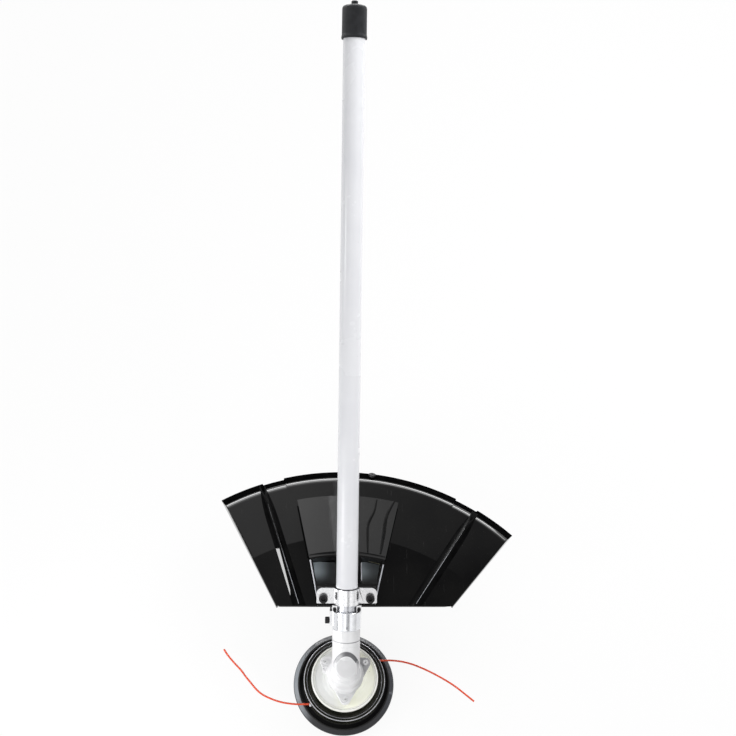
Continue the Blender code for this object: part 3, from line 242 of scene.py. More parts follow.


# Painted light and shade laid over finishes: the colour, then ranges in millimetres over x, y and z,
# over r from the spin axis and over s along the tube, each with the shares at its two ends.
NECK_FOOT = ("s", 103.5, 104.5, 1.0, 0.0)
# The colour of the painted reflection on the pocket floors, and where it fades in
PAINTED_POCKET_SHEEN = (0.56, 0.65, 0.70)
POCKET_DEPTH = ("y", 100.0, 117.0, 0.0, 1.0)
PAINTED_LIGHT_TONES = {
    "cast": (
        # Painted light on the neck's left side and painted shade on its right side
        ((0.93, 0.93, 0.94), NECK_FOOT, ("x", -16.0, -4.0, 0.8, 0.0)),
        ((0.50, 0.50, 0.51), NECK_FOOT, ("x", 3.0, 16.5, 0.0, 0.7)),
        # Painted shade in the gap between the dome and the neck, and in the turned groove round the neck,
        # darker to the right
        ((0.10, 0.10, 0.11), *band("r", 13.1, 17.6, 0.3), ("z", 112.5, 114.5, 0.0, 1.0),
         ("x", -13.0, 0.0, 0.25, 0.92)),
        ((0.22, 0.22, 0.235), *band("s", 89.6, 90.7, 0.2), ("x", -16.0, 12.0, 0.35, 0.85)),
        # Painted shade on the flange's right lobe, and on the dome's level top
        ((0.34, 0.34, 0.35), ("z", 82.0, 92.0, 1.0, 0.0), ("x", 6.0, 22.0, 0.0, 0.7)),
        ((0.62, 0.62, 0.63), ("z", 119.5, 120.5, 0.0, 0.45), ("r", 11.5, 12.5, 1.0, 0.0))),
    # Painted reflection: the cream cover greyer towards the left
    "cream": (((0.78, 0.79, 0.79), ("x", -22.0, 12.0, 0.9, 0.0)),),
    # Painted shade: a dark line at the inner edge of the cream rim's top
    "cream_rim": (((0.36, 0.37, 0.36), *band("r", 38.9, 39.4, 0.2)),),
    # The slate cover: painted shade towards -Y and in the groove inside it, a painted highlight on its left
    # side, and darker at its outer edge
    "slate": (
        ((0.008, 0.0085, 0.011), ("y", -52.0, -10.0, 0.95, 0.0)),
        ((0.32, 0.35, 0.38), ("x", -60.0, -38.0, 0.85, 0.0)),
        ((0.003, 0.003, 0.003), ("r", 57.8, 58.8, 1.0, 0.0)),
        ((0.010, 0.011, 0.013), ("r", 62.6, 63.2, 0.0, 0.8))),
    # Painted reflection on the pocket's cupped floors: a teal-grey sheen, strongest at the left, fading in
    # away from the clamp
    "painted_sheen_left": ((PAINTED_POCKET_SHEEN, ("x", -44.0, -18.0, 0.85, 0.02), POCKET_DEPTH),),
    "painted_sheen_right": ((PAINTED_POCKET_SHEEN, ("x", 18.0, 34.0, 0.30, 0.10), POCKET_DEPTH),),
    # Painted highlight along the rib crests, lighter towards the front
    "crest": (((0.36, 0.37, 0.40), ("y", 128.0, 150.0, 0.75, 0.0)),),
}

# Every finish: its slot, two tones, range of roughness, how metallic it is and the scale of its grain.
# Then what else it has: bump (strength, scale), wear and scratches (tone and range), specks (tone,
# scale, size), a stretch of its grain, and sockets of the shader.
SATIN = ("gloss_black_plastic", (0.003, 0.0035, 0.004), (0.005, 0.006, 0.0065), (0.3, 0.4), 0.0, 60.0,
         {"bump": (0.05, 300.0)})
FINISHES = {
    "coat": ("white_powder_coat", (0.74, 0.745, 0.775), (0.78, 0.785, 0.81), (0.20, 0.30), 0.0, 14.0,
             {"bump": (0.12, 700.0), "specks": ((0.55, 0.56, 0.58), 120.0, 0.06)}),
    # Near-black ring at the coat's end: painted shade where the coat meets the clamp
    "coat_edge": ("black_rubber", (0.015, 0.015, 0.017), (0.03, 0.03, 0.033), (0.5, 0.7), 0.0, 200.0, {}),
    "bare": ("bright_aluminium", (0.50, 0.51, 0.54), (0.66, 0.67, 0.70), (0.16, 0.30), 1.0, 90.0,
             {"stretch": (1.0, 1.0, 6.0), "bump": (0.1, 500.0)}),
    "polished": ("painted_casting", (0.72, 0.73, 0.76), (0.82, 0.83, 0.85), (0.10, 0.22), 1.0, 120.0,
                 {"bump": (0.06, 600.0), "wear": ((0.92, 0.92, 0.93), 0.55, 0.64)}),
    "aluminium": ("bright_aluminium", (0.62, 0.635, 0.66), (0.70, 0.71, 0.735), (0.18, 0.30), 1.0, 90.0,
                  {"bump": (0.1, 800.0), "wear": ((0.90, 0.90, 0.91), 0.6, 0.68)}),
    "cast": ("painted_casting", (0.78, 0.78, 0.79), (0.85, 0.85, 0.86), (0.28, 0.42), 0.2, 55.0,
             {"bump": (0.35, 520.0), "wear": ((0.86, 0.86, 0.87), 0.55, 0.64)}),
    "cream": ("cream_painted_steel", (0.91, 0.915, 0.78), (0.95, 0.955, 0.86), (0.3, 0.46), 0.0, 40.0,
              {"bump": (0.15, 500.0), "specks": ((0.5, 0.48, 0.36), 160.0, 0.1)}),
    "cream_rim": ("cream_painted_steel", (0.88, 0.88, 0.82), (0.95, 0.95, 0.92), (0.22, 0.36), 0.0, 40.0,
                  {"bump": (0.1, 500.0)}),
    "zinc": ("zinc_plated_steel", (0.60, 0.61, 0.64), (0.78, 0.78, 0.80), (0.2, 0.4), 1.0, 260.0,
             {"bump": (0.1, 900.0), "wear": ((0.9, 0.9, 0.9), 0.52, 0.6)}),
    # Bright metal for beads and bars put where dark parts show highlight lines: painted highlights
    "painted_highlight_metal": ("zinc_plated_steel", (0.52, 0.53, 0.57), (0.72, 0.72, 0.76), (0.36, 0.5), 0.7, 60.0, {}),
    "bright_zinc": ("zinc_plated_steel", (0.74, 0.745, 0.75), (0.88, 0.88, 0.89), (0.22, 0.36), 0.3, 200.0,
                    {}),
    "black_steel": ("black_oxide_steel", (0.012, 0.012, 0.014), (0.035, 0.034, 0.034), (0.22, 0.42), 0.75,
                    300.0, {"bump": (0.2, 1500.0), "wear": ((0.22, 0.22, 0.23), 0.54, 0.64)}),
    "housing": ("black_nylon", (0.006, 0.0065, 0.004), (0.016, 0.016, 0.009), (0.10, 0.24), 0.0, 45.0,
                {"bump": (0.05, 300.0), "scratches": ((0.03, 0.03, 0.026), 0.7, 0.5)}),
    "nylon": ("black_nylon", (0.010, 0.010, 0.011), (0.022, 0.022, 0.023), (0.36, 0.55), 0.0, 80.0,
              {"bump": (0.35, 1400.0), "wear": ((0.06, 0.06, 0.06), 0.54, 0.66)}),
    "slate": ("slate_nylon", (0.028, 0.031, 0.038), (0.046, 0.050, 0.060), (0.38, 0.56), 0.0, 70.0,
              {"bump": (0.4, 1100.0), "wear": ((0.16, 0.17, 0.19), 0.53, 0.66),
               "scratches": ((0.15, 0.16, 0.18), 0.69, 0.6)}),
    "cap": ("cap_black_plastic", (0.006, 0.0065, 0.008), (0.014, 0.015, 0.018), (0.50, 0.66), 0.0, 160.0,
            {"bump": (0.5, 420.0), "wear": ((0.05, 0.055, 0.06), 0.56, 0.68), "Specular_IOR_Level": 0.34}),
    "guard": ("gloss_black_plastic", (0.0028, 0.0028, 0.003), (0.0048, 0.0047, 0.0046), (0.04, 0.08), 0.0,
              26.0, {"bump": (0.03, 60.0), "scratches": ((0.03, 0.03, 0.03), 0.735, 0.45),
                     "specks": ((0.05, 0.05, 0.05), 55.0, 0.02)}),
    "skirt": ("gloss_black_plastic", (0.0015, 0.0015, 0.0016), (0.0035, 0.0035, 0.0036), (0.85, 1.0), 0.0,
              90.0, {"bump": (0.3, 1300.0), "Specular_IOR_Level": 0.0}),
    # The pocket floors: gloss black under a painted reflection
    "painted_sheen_left": SATIN,
    "painted_sheen_right": SATIN,
    # Crest bars lighter than the black guard: a painted highlight
    "crest": ("gloss_black_plastic", (0.02, 0.02, 0.022), (0.05, 0.05, 0.055), (0.2, 0.4), 0.0, 120.0, {}),
    "flank": ("gloss_black_plastic", (0.0012, 0.0012, 0.0013), (0.0022, 0.0022, 0.0023), (0.25, 0.4), 0.0,
              60.0, {"Specular_IOR_Level": 0.06}),
    # An olive-yellow lip on the black guard: a painted highlight
    "painted_lip_highlight": ("gloss_black_plastic", (0.20, 0.19, 0.12), (0.34, 0.33, 0.22), (0.3, 0.5), 0.0, 200.0, {}),
    "steel": ("ground_steel", (0.42, 0.43, 0.45), (0.60, 0.61, 0.63), (0.2, 0.36), 1.0, 200.0,
              {"stretch": (1.0, 1.0, 0.1), "bump": (0.1, 900.0)}),
    "dark_steel": ("dark_spring_steel", (0.05, 0.05, 0.055), (0.14, 0.14, 0.15), (0.3, 0.45), 1.0, 200.0,
                   {"bump": (0.1, 900.0)}),
    "rubber": ("black_rubber", (0.015, 0.015, 0.015), (0.03, 0.03, 0.03), (0.6, 0.85), 0.0, 200.0,
               {"bump": (0.4, 900.0)}),
    "line": ("orange_line", (0.66, 0.050, 0.010), (0.84, 0.090, 0.022), (0.34, 0.48), 0.0, 300.0,
             {"bump": (0.15, 1200.0)}),
}
LOOKS = {name: finish(name, *row[1:-1], **row[-1]) for name, row in FINISHES.items()}


# Shapes

def spread(start, end, count):
    """Evenly spaced values from one value to another, so many steps apart."""
    return [start + (end - start) * i / count for i in range(count + 1)]


def close_mesh(bm):
    """Weld a shape that was spun, lofted or extruded and turn its faces outwards."""
    bmesh.ops.remove_doubles(bm, verts=bm.verts, dist=0.000002)
    bmesh.ops.dissolve_degenerate(bm, edges=bm.edges, dist=0.000002)
    bmesh.ops.recalc_face_normals(bm, faces=bm.faces)
    return bm


def eased(profile, radius=0.5, steps=3):
    """Round the corners of a closed outline. A third number gives a corner its own radius."""
    outline = []
    for index, point in enumerate(profile):
        here = Vector(point[:2])
        before = Vector(profile[index - 1][:2]) - here
        after = Vector(profile[(index + 1) % len(profile)][:2]) - here
        want = point[2] if len(point) > 2 else radius
        if want == 0.0 or here.x < 0.01:
            outline.append(tuple(here))
            continue
        reach = min(want / math.tan(before.angle(after) / 2), 0.46 * before.length, 0.46 * after.length)
        start = here + before.normalized() * reach
        end = here + after.normalized() * reach
        for step in range(steps + 1):
            t = step / steps
            outline.append(tuple((1 - t) ** 2 * start + 2 * t * (1 - t) * here + t * t * end))
    return outline


def turned(profile, around=96):
    """A closed outline of (radius, height) turned about the Z axis."""
    bm = bmesh.new()
    points = [bm.verts.new((radius * MM, 0.0, height * MM)) for radius, height in profile]
    edges = [bm.edges.new(pair) for pair in zip(points, points[1:] + points[:1])
             if pair[0].co.x > 0.0 or pair[1].co.x > 0.0]
    bmesh.ops.spin(bm, geom=points + edges, cent=(0, 0, 0), axis=(0, 0, 1),
                   angle=math.tau, steps=around, use_merge=True)
    return close_mesh(bm)


def lathe(profile, radius=0.5, steps=3, around=96):
    """A turned shape with eased corners."""
    return turned(eased(profile, radius, steps), around)


def sleeve(inner, outer, low, high):
    """The outline of a tube's wall."""
    return [(inner, low), (outer, low), (outer, high), (inner, high)]


def disc(radius, low, high, around=96):
    """A plain round bar or disc."""
    return turned(sleeve(0.0, radius, low, high), around)


def loft(loops, closed=False):
    """A body through outlines that have the same number of 3-D points."""
    bm = bmesh.new()
    rows = [[bm.verts.new([value * MM for value in point]) for point in loop] for loop in loops]
    for low, high in zip(rows, rows[1:] + (rows[:1] if closed else [])):
        for index in range(len(low)):
            after = (index + 1) % len(low)
            bm.faces.new((low[index], low[after], high[after], high[index]))
    if not closed:
        bm.faces.new(rows[0])
        bm.faces.new(rows[-1])
    return close_mesh(bm)


def prism(outline, low, high):
    """A flat outline raised from one height to another."""
    return loft([[(x, y, low) for x, y in outline], [(x, y, high) for x, y in outline]])


def block(low, high):
    """A box between two corners."""
    return prism([(low[0], low[1]), (high[0], low[1]), (high[0], high[1]), (low[0], high[1])],
                 low[2], high[2])


def circle(radius, count, centre=(0.0, 0.0)):
    """Points round a circle."""
    return [(centre[0] + radius * math.cos(math.tau * i / count),
             centre[1] + radius * math.sin(math.tau * i / count)) for i in range(count)]


def rounded_outline(corners, radius, steps=14):
    """A convex outline, given anticlockwise, that wraps a disc at each of its corners."""
    outline = []
    for index, corner in enumerate(corners):
        here = Vector(corner)
        arrive = here - Vector(corners[index - 1])
        leave = Vector(corners[(index + 1) % len(corners)]) - here
        start = math.atan2(-arrive.x, arrive.y)
        sweep = (math.atan2(-leave.x, leave.y) - start) % math.tau
        for step in range(steps + 1):
            angle = start + sweep * step / steps
            outline.append((here.x + radius * math.cos(angle), here.y + radius * math.sin(angle)))
    return outline


def moved(bm, offset=(0.0, 0.0, 0.0), turn=None):
    """Turn a shape by degrees about an axis through the origin, then shift it."""
    if turn:
        bmesh.ops.transform(bm, matrix=Matrix.Rotation(math.radians(turn[0]), 4, turn[1]), verts=bm.verts)
    bmesh.ops.translate(bm, verts=bm.verts, vec=[value * MM for value in offset])
    return bm


def on_tube(bm):
    """Bring a shape that was made along the drive tube into the model's frame."""
    bmesh.ops.transform(bm, matrix=TUBE, verts=bm.verts)
    return bm


def across_tube(shape, station, side=0.0, rise=0.0):
    """Stand a shape made along Z on the tube, so that its Z points away above the tube."""
    return on_tube(moved(shape, (side, -rise, station), (90.0, "X")))


def make_piece(name, shape, look, sharp=SHARP_DEGREES):
    """Make a shape into an object that isn't yet part of the attachment."""
    mesh = bpy.data.meshes.new(name)
    shape.to_mesh(mesh)
    shape.free()
    mesh.materials.append(LOOKS[look])
    mesh.shade_smooth()
    mesh.set_sharp_from_angle(angle=math.radians(sharp))
    return linked(name, mesh)


def join_frame(piece, *nodes, body="frame", slot=None):
    """Let a piece ride a body and stand for CAD nodes, which are hidden. The slot is not used."""
    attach(piece, body)
    if nodes:
        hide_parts(*nodes)


def add_piece(name, shape, look, *nodes, **place):
    """Make a shape into a piece of the attachment."""
    join_frame(make_piece(name, shape, look), *nodes, **place)


def repaint(piece, look, chosen):
    """Give a piece's chosen faces another finish."""
    piece.data.materials.append(LOOKS[look])
    for face in piece.data.polygons:
        if chosen(face):
            face.material_index = len(piece.data.materials) - 1


def carve(piece, operation, shapes):
    """Add shapes to a piece, or cut them out of it, with one Boolean modifier that is then applied."""
    tools = bpy.data.collections.new("tools")
    bpy.context.scene.collection.children.link(tools)
    for shape in shapes:
        tool = make_piece("tool", shape, piece.data.materials[0].name)
        bpy.context.scene.collection.objects.unlink(tool)
        tools.objects.link(tool)
    modifier = piece.modifiers.new("shape", "BOOLEAN")
    modifier.operation = operation
    modifier.solver = "EXACT"
    modifier.operand_type = "COLLECTION"
    modifier.collection = tools
    apply_modifiers(piece)
    for tool in list(tools.objects):
        mesh = tool.data
        bpy.data.objects.remove(tool, do_unlink=True)
        bpy.data.meshes.remove(mesh)
    bpy.data.collections.remove(tools)
    piece.data.set_sharp_from_angle(angle=math.radians(SHARP_DEGREES))


def apply_modifiers(piece):
    """Swap a piece's mesh for what its modifiers make of it."""
    bpy.context.view_layer.update()
    graph = bpy.context.evaluated_depsgraph_get()
    shaped = bpy.data.meshes.new_from_object(piece.evaluated_get(graph))
    plain = piece.data
    piece.modifiers.clear()
    piece.data = shaped
    bpy.data.meshes.remove(plain)
    shaped.name = piece.name


def soften(piece, width=0.4, segments=2):
    """Round a piece's sharp edges a little."""
    bevel = piece.modifiers.new("edges", "BEVEL")
    bevel.width = width * MM
    bevel.segments = segments
    bevel.limit_method = "ANGLE"
    bevel.angle_limit = math.radians(34.0)
    bevel.miter_outer = "MITER_ARC"
    weighted = piece.modifiers.new("shading", "WEIGHTED_NORMAL")
    weighted.keep_sharp = False
    weighted.weight = 80
    return piece


def smooth_route(points, spacing):
    """Read evenly spaced points from a smooth curve through the route's own points."""
    nodes = [Vector(point) for point in points]
    nodes = [2 * nodes[0] - nodes[1]] + nodes + [2 * nodes[-1] - nodes[-2]]
    dense = []
    for index in range(1, len(nodes) - 2):
        before, start, end, after = nodes[index - 1:index + 3]
        for step in range(24):
            t = step / 24
            dense.append(0.5 * (2 * start + (end - before) * t
                                + (2 * before - 5 * start + 4 * end - after) * t * t
                                + (3 * start - before - 3 * end + after) * t ** 3))
    dense.append(nodes[-2])
    route = [dense[0]]
    for point in dense[1:-1]:
        if (point - route[-1]).length >= spacing:
            route.append(point)
    route.append(dense[-1])
    return route


def wire(name, route, diameter, resolution):
    """A round wire along a route."""
    curve = bpy.data.curves.new(name, "CURVE")
    curve.dimensions = "3D"
    curve.bevel_depth = diameter / 2 * MM
    curve.bevel_resolution = resolution
    curve.use_fill_caps = True
    spline = curve.splines.new("POLY")
    spline.points.add(len(route) - 1)
    for point, where in zip(spline.points, route):
        point.co = (*[value * MM for value in where], 1.0)
    return linked(name, curve)


# Trimmer line

def build_lines():
    """The two free ends of trimmer line, as stiff cords."""
    for side, points in LINE_ROUTES.items():
        route = smooth_route(points, 0.8 * LINE_DIAMETER)
        line = wire(f"line_{side}", route, LINE_DIAMETER, 5)
        line.data.materials.append(LOOKS["line"])
        join_frame(line, f"trimmer_line_{side}", body="trimmer_head")


# Screws

def socket_screw(head_radius, head_height, shank_radius, shank_length, socket, knurl=0.0):
    """A cap screw along Z: the head stands on z = 0, the shank runs down, the hexagon is a recess."""
    around = 72
    bevel = 0.16 * head_height
    floor_height = 0.4 * head_height
    rim_height = head_height - 0.2
    shape = turned([
        (0.0, -shank_length), (shank_radius - 0.3, -shank_length), (shank_radius, -shank_length + 0.4),
        (shank_radius, 0.0), (head_radius - 0.15, 0.0), (head_radius, 0.2),
        (head_radius, head_height - bevel), (head_radius - 0.35 * bevel, head_height - 0.25 * bevel),
        (head_radius - bevel, head_height), (socket + 0.35, head_height), (socket + 0.12, rim_height),
        (0.0, rim_height)], around)
    inner = [vert for vert in shape.verts if vert.co.z > (rim_height - 0.05) * MM
             and vert.co.xy.length < (socket + 0.05) * MM]
    bmesh.ops.delete(shape, geom=inner, context="VERTS")
    rim = [edge for edge in shape.edges if edge.is_boundary]
    mouth, floor = [[shape.verts.new((x * MM, y * MM, height * MM)) for x, y in circle(socket, 6)]
                    for height in (rim_height, floor_height)]
    ring = [shape.edges.new((mouth[i], mouth[(i + 1) % 6])) for i in range(6)]
    bmesh.ops.bridge_loops(shape, edges=rim + ring)
    for i in range(6):
        j = (i + 1) % 6
        shape.faces.new((mouth[i], mouth[j], floor[j], floor[i]))
    shape.faces.new(floor)
    if knurl:
        for vert in shape.verts:
            if vert.co.xy.length > (head_radius - 0.05) * MM and vert.co.z > 0:
                if round(math.atan2(vert.co.y, vert.co.x) / math.tau * around) % 2:
                    vert.co.xy *= 1.0 - knurl / head_radius
    bmesh.ops.recalc_face_normals(shape, faces=shape.faces)
    return shape


def hexagon_nut(corner, bore, low, high):
    """A hexagon nut with a round bore."""
    corners = circle(corner, 6)
    outside = [(start[0] + (end[0] - start[0]) * share, start[1] + (end[1] - start[1]) * share)
               for start, end in zip(corners, corners[1:] + corners[:1]) for share in (0.0, 0.25, 0.5, 0.75)]
    inside = circle(bore, 24)
    chamfer = [(x * 0.93, y * 0.93) for x, y in outside]
    levels = ((chamfer, low), (outside, low + 0.4), (outside, high - 0.4), (chamfer, high), (inside, high),
              (inside, low))
    return loft([[(x, y, height) for x, y in outline] for outline, height in levels], closed=True)


# Drive tube and cap

TUBE_RADIUS = 13.0
TUBE_BORE = 11.5
COAT_FOOT = 104.7
EDGE_FOOT = COAT_FOOT - 1.5
TUBE_FOOT = 46.0
TUBE_END = 786.0
LOCATING_STATION = 64.0


def locating_hole(reach):
    """The hole for the locating screw, from the left."""
    return on_tube(moved(disc(2.8, -reach, -8.0, 32), (0.0, 0.0, LOCATING_STATION), (90.0, "Y")))


def build_tube():
    """The coated tube, its bare lower end and a near-black ring where the coat stops, painted shade where the
    coat meets the clamp.
    """
    coat = lathe(sleeve(TUBE_BORE, TUBE_RADIUS, COAT_FOOT, TUBE_END), 0.35, around=128)
    add_piece("tube_coat", on_tube(coat), "coat", "drive_tube")
    # A near-black ring where the coat stops: painted shade where the coat meets the clamp
    edge = turned(sleeve(TUBE_BORE, 12.8, EDGE_FOOT, COAT_FOOT))
    add_piece("tube_coat_edge", on_tube(edge), "coat_edge")
    bare = lathe(sleeve(TUBE_BORE, 12.9, TUBE_FOOT, EDGE_FOOT), 0.25, around=128)
    piece = make_piece("tube_bare_end", on_tube(bare), "bare")
    carve(piece, "DIFFERENCE", [locating_hole(20.0)])
    join_frame(piece)


def build_cap():
    """The push-on transport cap with its pull nub."""
    bore = TUBE_RADIUS + GAP
    cap = lathe([
        (bore, 754.0), (15.0, 754.0, 0.5), (15.2, 756.0, 1.2), (14.6, 759.0, 3.0), (14.5, 792.2, 4.4),
        (4.6, 792.3, 1.2), (3.85, 793.6, 0.6), (3.9, 797.0, 0.8), (2.9, 798.0, 0.8), (0.0, 798.0),
        (0.0, 786.6), (bore, 786.6)], 0.4, 6, 128)
    add_piece("cap_shell", on_tube(cap), "cap", "shaft_end_cap", body="transport_cap")


# Gear case

NECK_RADIUS = 16.9
COLLAR_RADIUS = 17.85
COLLAR_FOOT = 54.2
NECK_END = 76.8
NECK_BORE = TUBE_RADIUS + GAP
BOSS_REACH = 20.3
LUG_SIDE = 14.6
LUG_END = 83.6
NECK_SCREW_STATION = 79.1
PLUG_STATION = 19.0
BARREL_RADIUS = 19.3
DOME_RADIUS = 12.9
DOME_TOP = 121.0
FLANGE_TOP = 78.0
FLANGE_FOOT = 74.0
FLANGE_HOLE = 2.3
FLANGE_SCREWS = [(29.3 * math.cos(math.radians(a)), 29.3 * math.sin(math.radians(a)))
                 for a in (31.0, 146.0, 270.0)]


def at_flange_screws(radius, low, high, count=32):
    """A round bar at each of the flange's screws."""
    return [prism(circle(radius, count, centre), low, high) for centre in FLANGE_SCREWS]


def groove(case, station, half, depth):
    """Press a turned groove into the neck, round the tube's axis."""
    to_tube = TUBE.inverted()
    for vert in case.data.vertices:
        spot = to_tube @ vert.co
        off = abs(spot.z / MM - station)
        radius = spot.xy.length / MM
        if off < half + 0.3 and radius > NECK_RADIUS - 0.3 and vert.co.xy.length > 18.0 * MM:
            share = min(1.0, (half + 0.3 - off) / 0.3)
            spot.xy *= 1.0 - depth * share / radius
            vert.co = TUBE @ spot


def build_gearcase():
    """The cast case, remeshed so that its edges are as soft as a casting's, and its polished collar."""
    neck = turned([
        (0.0, 2.0), (NECK_RADIUS - 2.4, 2.0), (NECK_RADIUS, 5.0), (NECK_RADIUS, COLLAR_FOOT + 0.4),
        (0.0, COLLAR_FOOT + 0.4)], 128)
    case = make_piece("gearcase_casting", on_tube(neck), "cast")
    carve(case, "DIFFERENCE", [disc(17.5, 110.0, 150.0)])
    barrel = turned([
        (0.0, 60.4), (17.3, 60.4), (17.3, FLANGE_FOOT), (22.5, FLANGE_FOOT), (22.5, 83.6), (21.6, 85.4),
        (19.8, 86.6), (BARREL_RADIUS, 88.0), (BARREL_RADIUS - 0.5, 102.0), (17.6, 104.0), (15.6, 104.9),
        (15.1, 106.0), (15.1, 109.2), (13.4, 110.3), (DOME_RADIUS, 111.5), (DOME_RADIUS, DOME_TOP - 1.0),
        (DOME_RADIUS - 0.9, DOME_TOP), (0.0, DOME_TOP + 0.4)], 128)
    carve(case, "UNION", [
        barrel, on_tube(disc(NECK_BORE + 1.2, 3.0, 34.0)),
        prism(rounded_outline(FLANGE_SCREWS, 6.4), FLANGE_FOOT, FLANGE_TOP),
        block((-28.0, 3.0, FLANGE_FOOT), (-17.0, 10.5, FLANGE_TOP + 2.6))])
    bore, seat = 14.3, 16.2
    cavity = turned([(0.0, 50.0), (bore, 50.0), (bore, 86.9), (seat, 86.9), (seat, 101.8), (0.0, 101.8)])
    carve(case, "DIFFERENCE", [
        cavity, on_tube(disc(NECK_BORE, 5.4, 95.0)), block((-30.0, 6.1, 75.3), (-23.6, 8.2, 84.0)),
        *at_flange_screws(FLANGE_HOLE, 60.0, 90.0),
        on_tube(moved(disc(3.3, -24.0, -9.0, 32), (0.0, 0.0, PLUG_STATION), (90.0, "X")))])
    remesh = case.modifiers.new("voxels", "REMESH")
    remesh.mode = "VOXEL"
    remesh.voxel_size = 0.42 * MM
    smooth = case.modifiers.new("soft", "SMOOTH")
    smooth.factor = 0.5
    smooth.iterations = 5
    apply_modifiers(case)
    groove(case, 40.2, 0.55, 0.75)
    groove(case, 34.4, 0.35, 0.3)
    case.data.shade_smooth()
    join_frame(case, "gearcase")

    collar = make_piece("gearcase_collar", on_tube(lathe([
        (NECK_BORE, COLLAR_FOOT), (NECK_RADIUS, COLLAR_FOOT, 0.2), (COLLAR_RADIUS, COLLAR_FOOT + 1.2, 0.6),
        (COLLAR_RADIUS, NECK_END - 0.2, 1.0), (NECK_BORE + 0.3, NECK_END, 0.5), (NECK_BORE, NECK_END - 0.5)],
        around=128)), "polished")
    lugs = [on_tube(block((-BOSS_REACH, -5.0, NECK_END - 18.0), (-12.0, 5.0, NECK_END - 0.4)))]
    for _, side in SIDES:
        middle = side * LUG_SIDE
        lugs.append(on_tube(block((middle - 3.0, -7.0, NECK_END - 4.0), (middle + 3.0, 1.5, LUG_END))))
    carve(collar, "UNION", lugs)
    carve(collar, "DIFFERENCE", [
        on_tube(disc(NECK_BORE, 40.0, 95.0, 128)),
        on_tube(block((-0.7, -25.0, COLLAR_FOOT + 3.0), (0.7, -5.0, NECK_END + 2.0))), locating_hole(24.0),
        *(across_tube(disc(1.6, -12.0, 12.0, 24), NECK_SCREW_STATION, side * LUG_SIDE) for _, side in SIDES)])
    join_frame(soften(collar, 0.35), "gearcase")


def build_gearcase_screws():
    """Screws and plug that belong to the gear case."""
    locating = moved(socket_screw(4.1, 5.4, 2.5, 9.4, 2.1, 0.12), (-BOSS_REACH - GAP, 0.0, LOCATING_STATION),
                     (-90.0, "Y"))
    add_piece("screw_locating", on_tube(locating), "black_steel", "locating_screw")
    for name, side in SIDES:
        screw = across_tube(socket_screw(2.3, 2.0, 1.3, 6.0, 1.1), NECK_SCREW_STATION, side * LUG_SIDE,
                            7.0 + GAP)
        add_piece(f"screw_neck_{name}", screw, "black_steel", f"neck_screw_{name}")
    plug = moved(socket_screw(5.0, 3.0, 3.0, 5.0, 2.0), (0.0, NECK_RADIUS + GAP, PLUG_STATION), (-90.0, "X"))
    add_piece("plug_grease", on_tube(plug), "black_steel", "grease_plug")
    for number, (x, y) in enumerate(FLANGE_SCREWS, start=1):
        screw = moved(socket_screw(3.4, 2.2, 2.0, 18.0, 0.8), (x, y, FLANGE_TOP + GAP))
        add_piece(f"screw_flange_{number}", screw, "bright_zinc", f"flange_screw_{number}")


# Trimmer head

def build_dust_cover():
    """The pale round cover under the gear case flange."""
    top = FLANGE_FOOT - GAP
    cover = make_piece("dust_cover_pressing", lathe([
        (17.7, top, 0.2), (22.6, top, 0.8), (24.2, 72.4, 1.0), (26.4, 62.2, 1.6), (28.0, 60.6, 2.0),
        (36.4, 59.7, 1.6), (37.8, 60.6, 0.8), (38.6, 62.1, 0.8), (40.9, 62.1, 0.8), (41.5, 61.2, 0.6),
        (41.5, 57.2, 0.4), (39.4, 57.2, 0.4), (38.6, 57.8, 0.8), (27.0, 58.4, 1.5), (24.6, 60.2, 1.2),
        (21.4, 71.4, 1.0), (17.7, 71.4, 0.3)], 0.5, 5, 160), "cream")
    carve(cover, "UNION", at_flange_screws(4.6, 58.6, top, 40))
    carve(cover, "DIFFERENCE", at_flange_screws(FLANGE_HOLE, 50.0, 80.0))
    repaint(cover, "cream_rim", lambda face: face.center.xy.length > 37.2 * MM)
    join_frame(cover, "dust_cover")


def at_eyelet(shape, side):
    """Lay a shape made along Z through the housing's wall, where a line leaves it."""
    moved(shape, (0.0, *LINE_ROUTES["right"][0][1:]), (90.0, "Y"))
    return moved(shape, turn=(180.0, "Z")) if side < 0 else shape


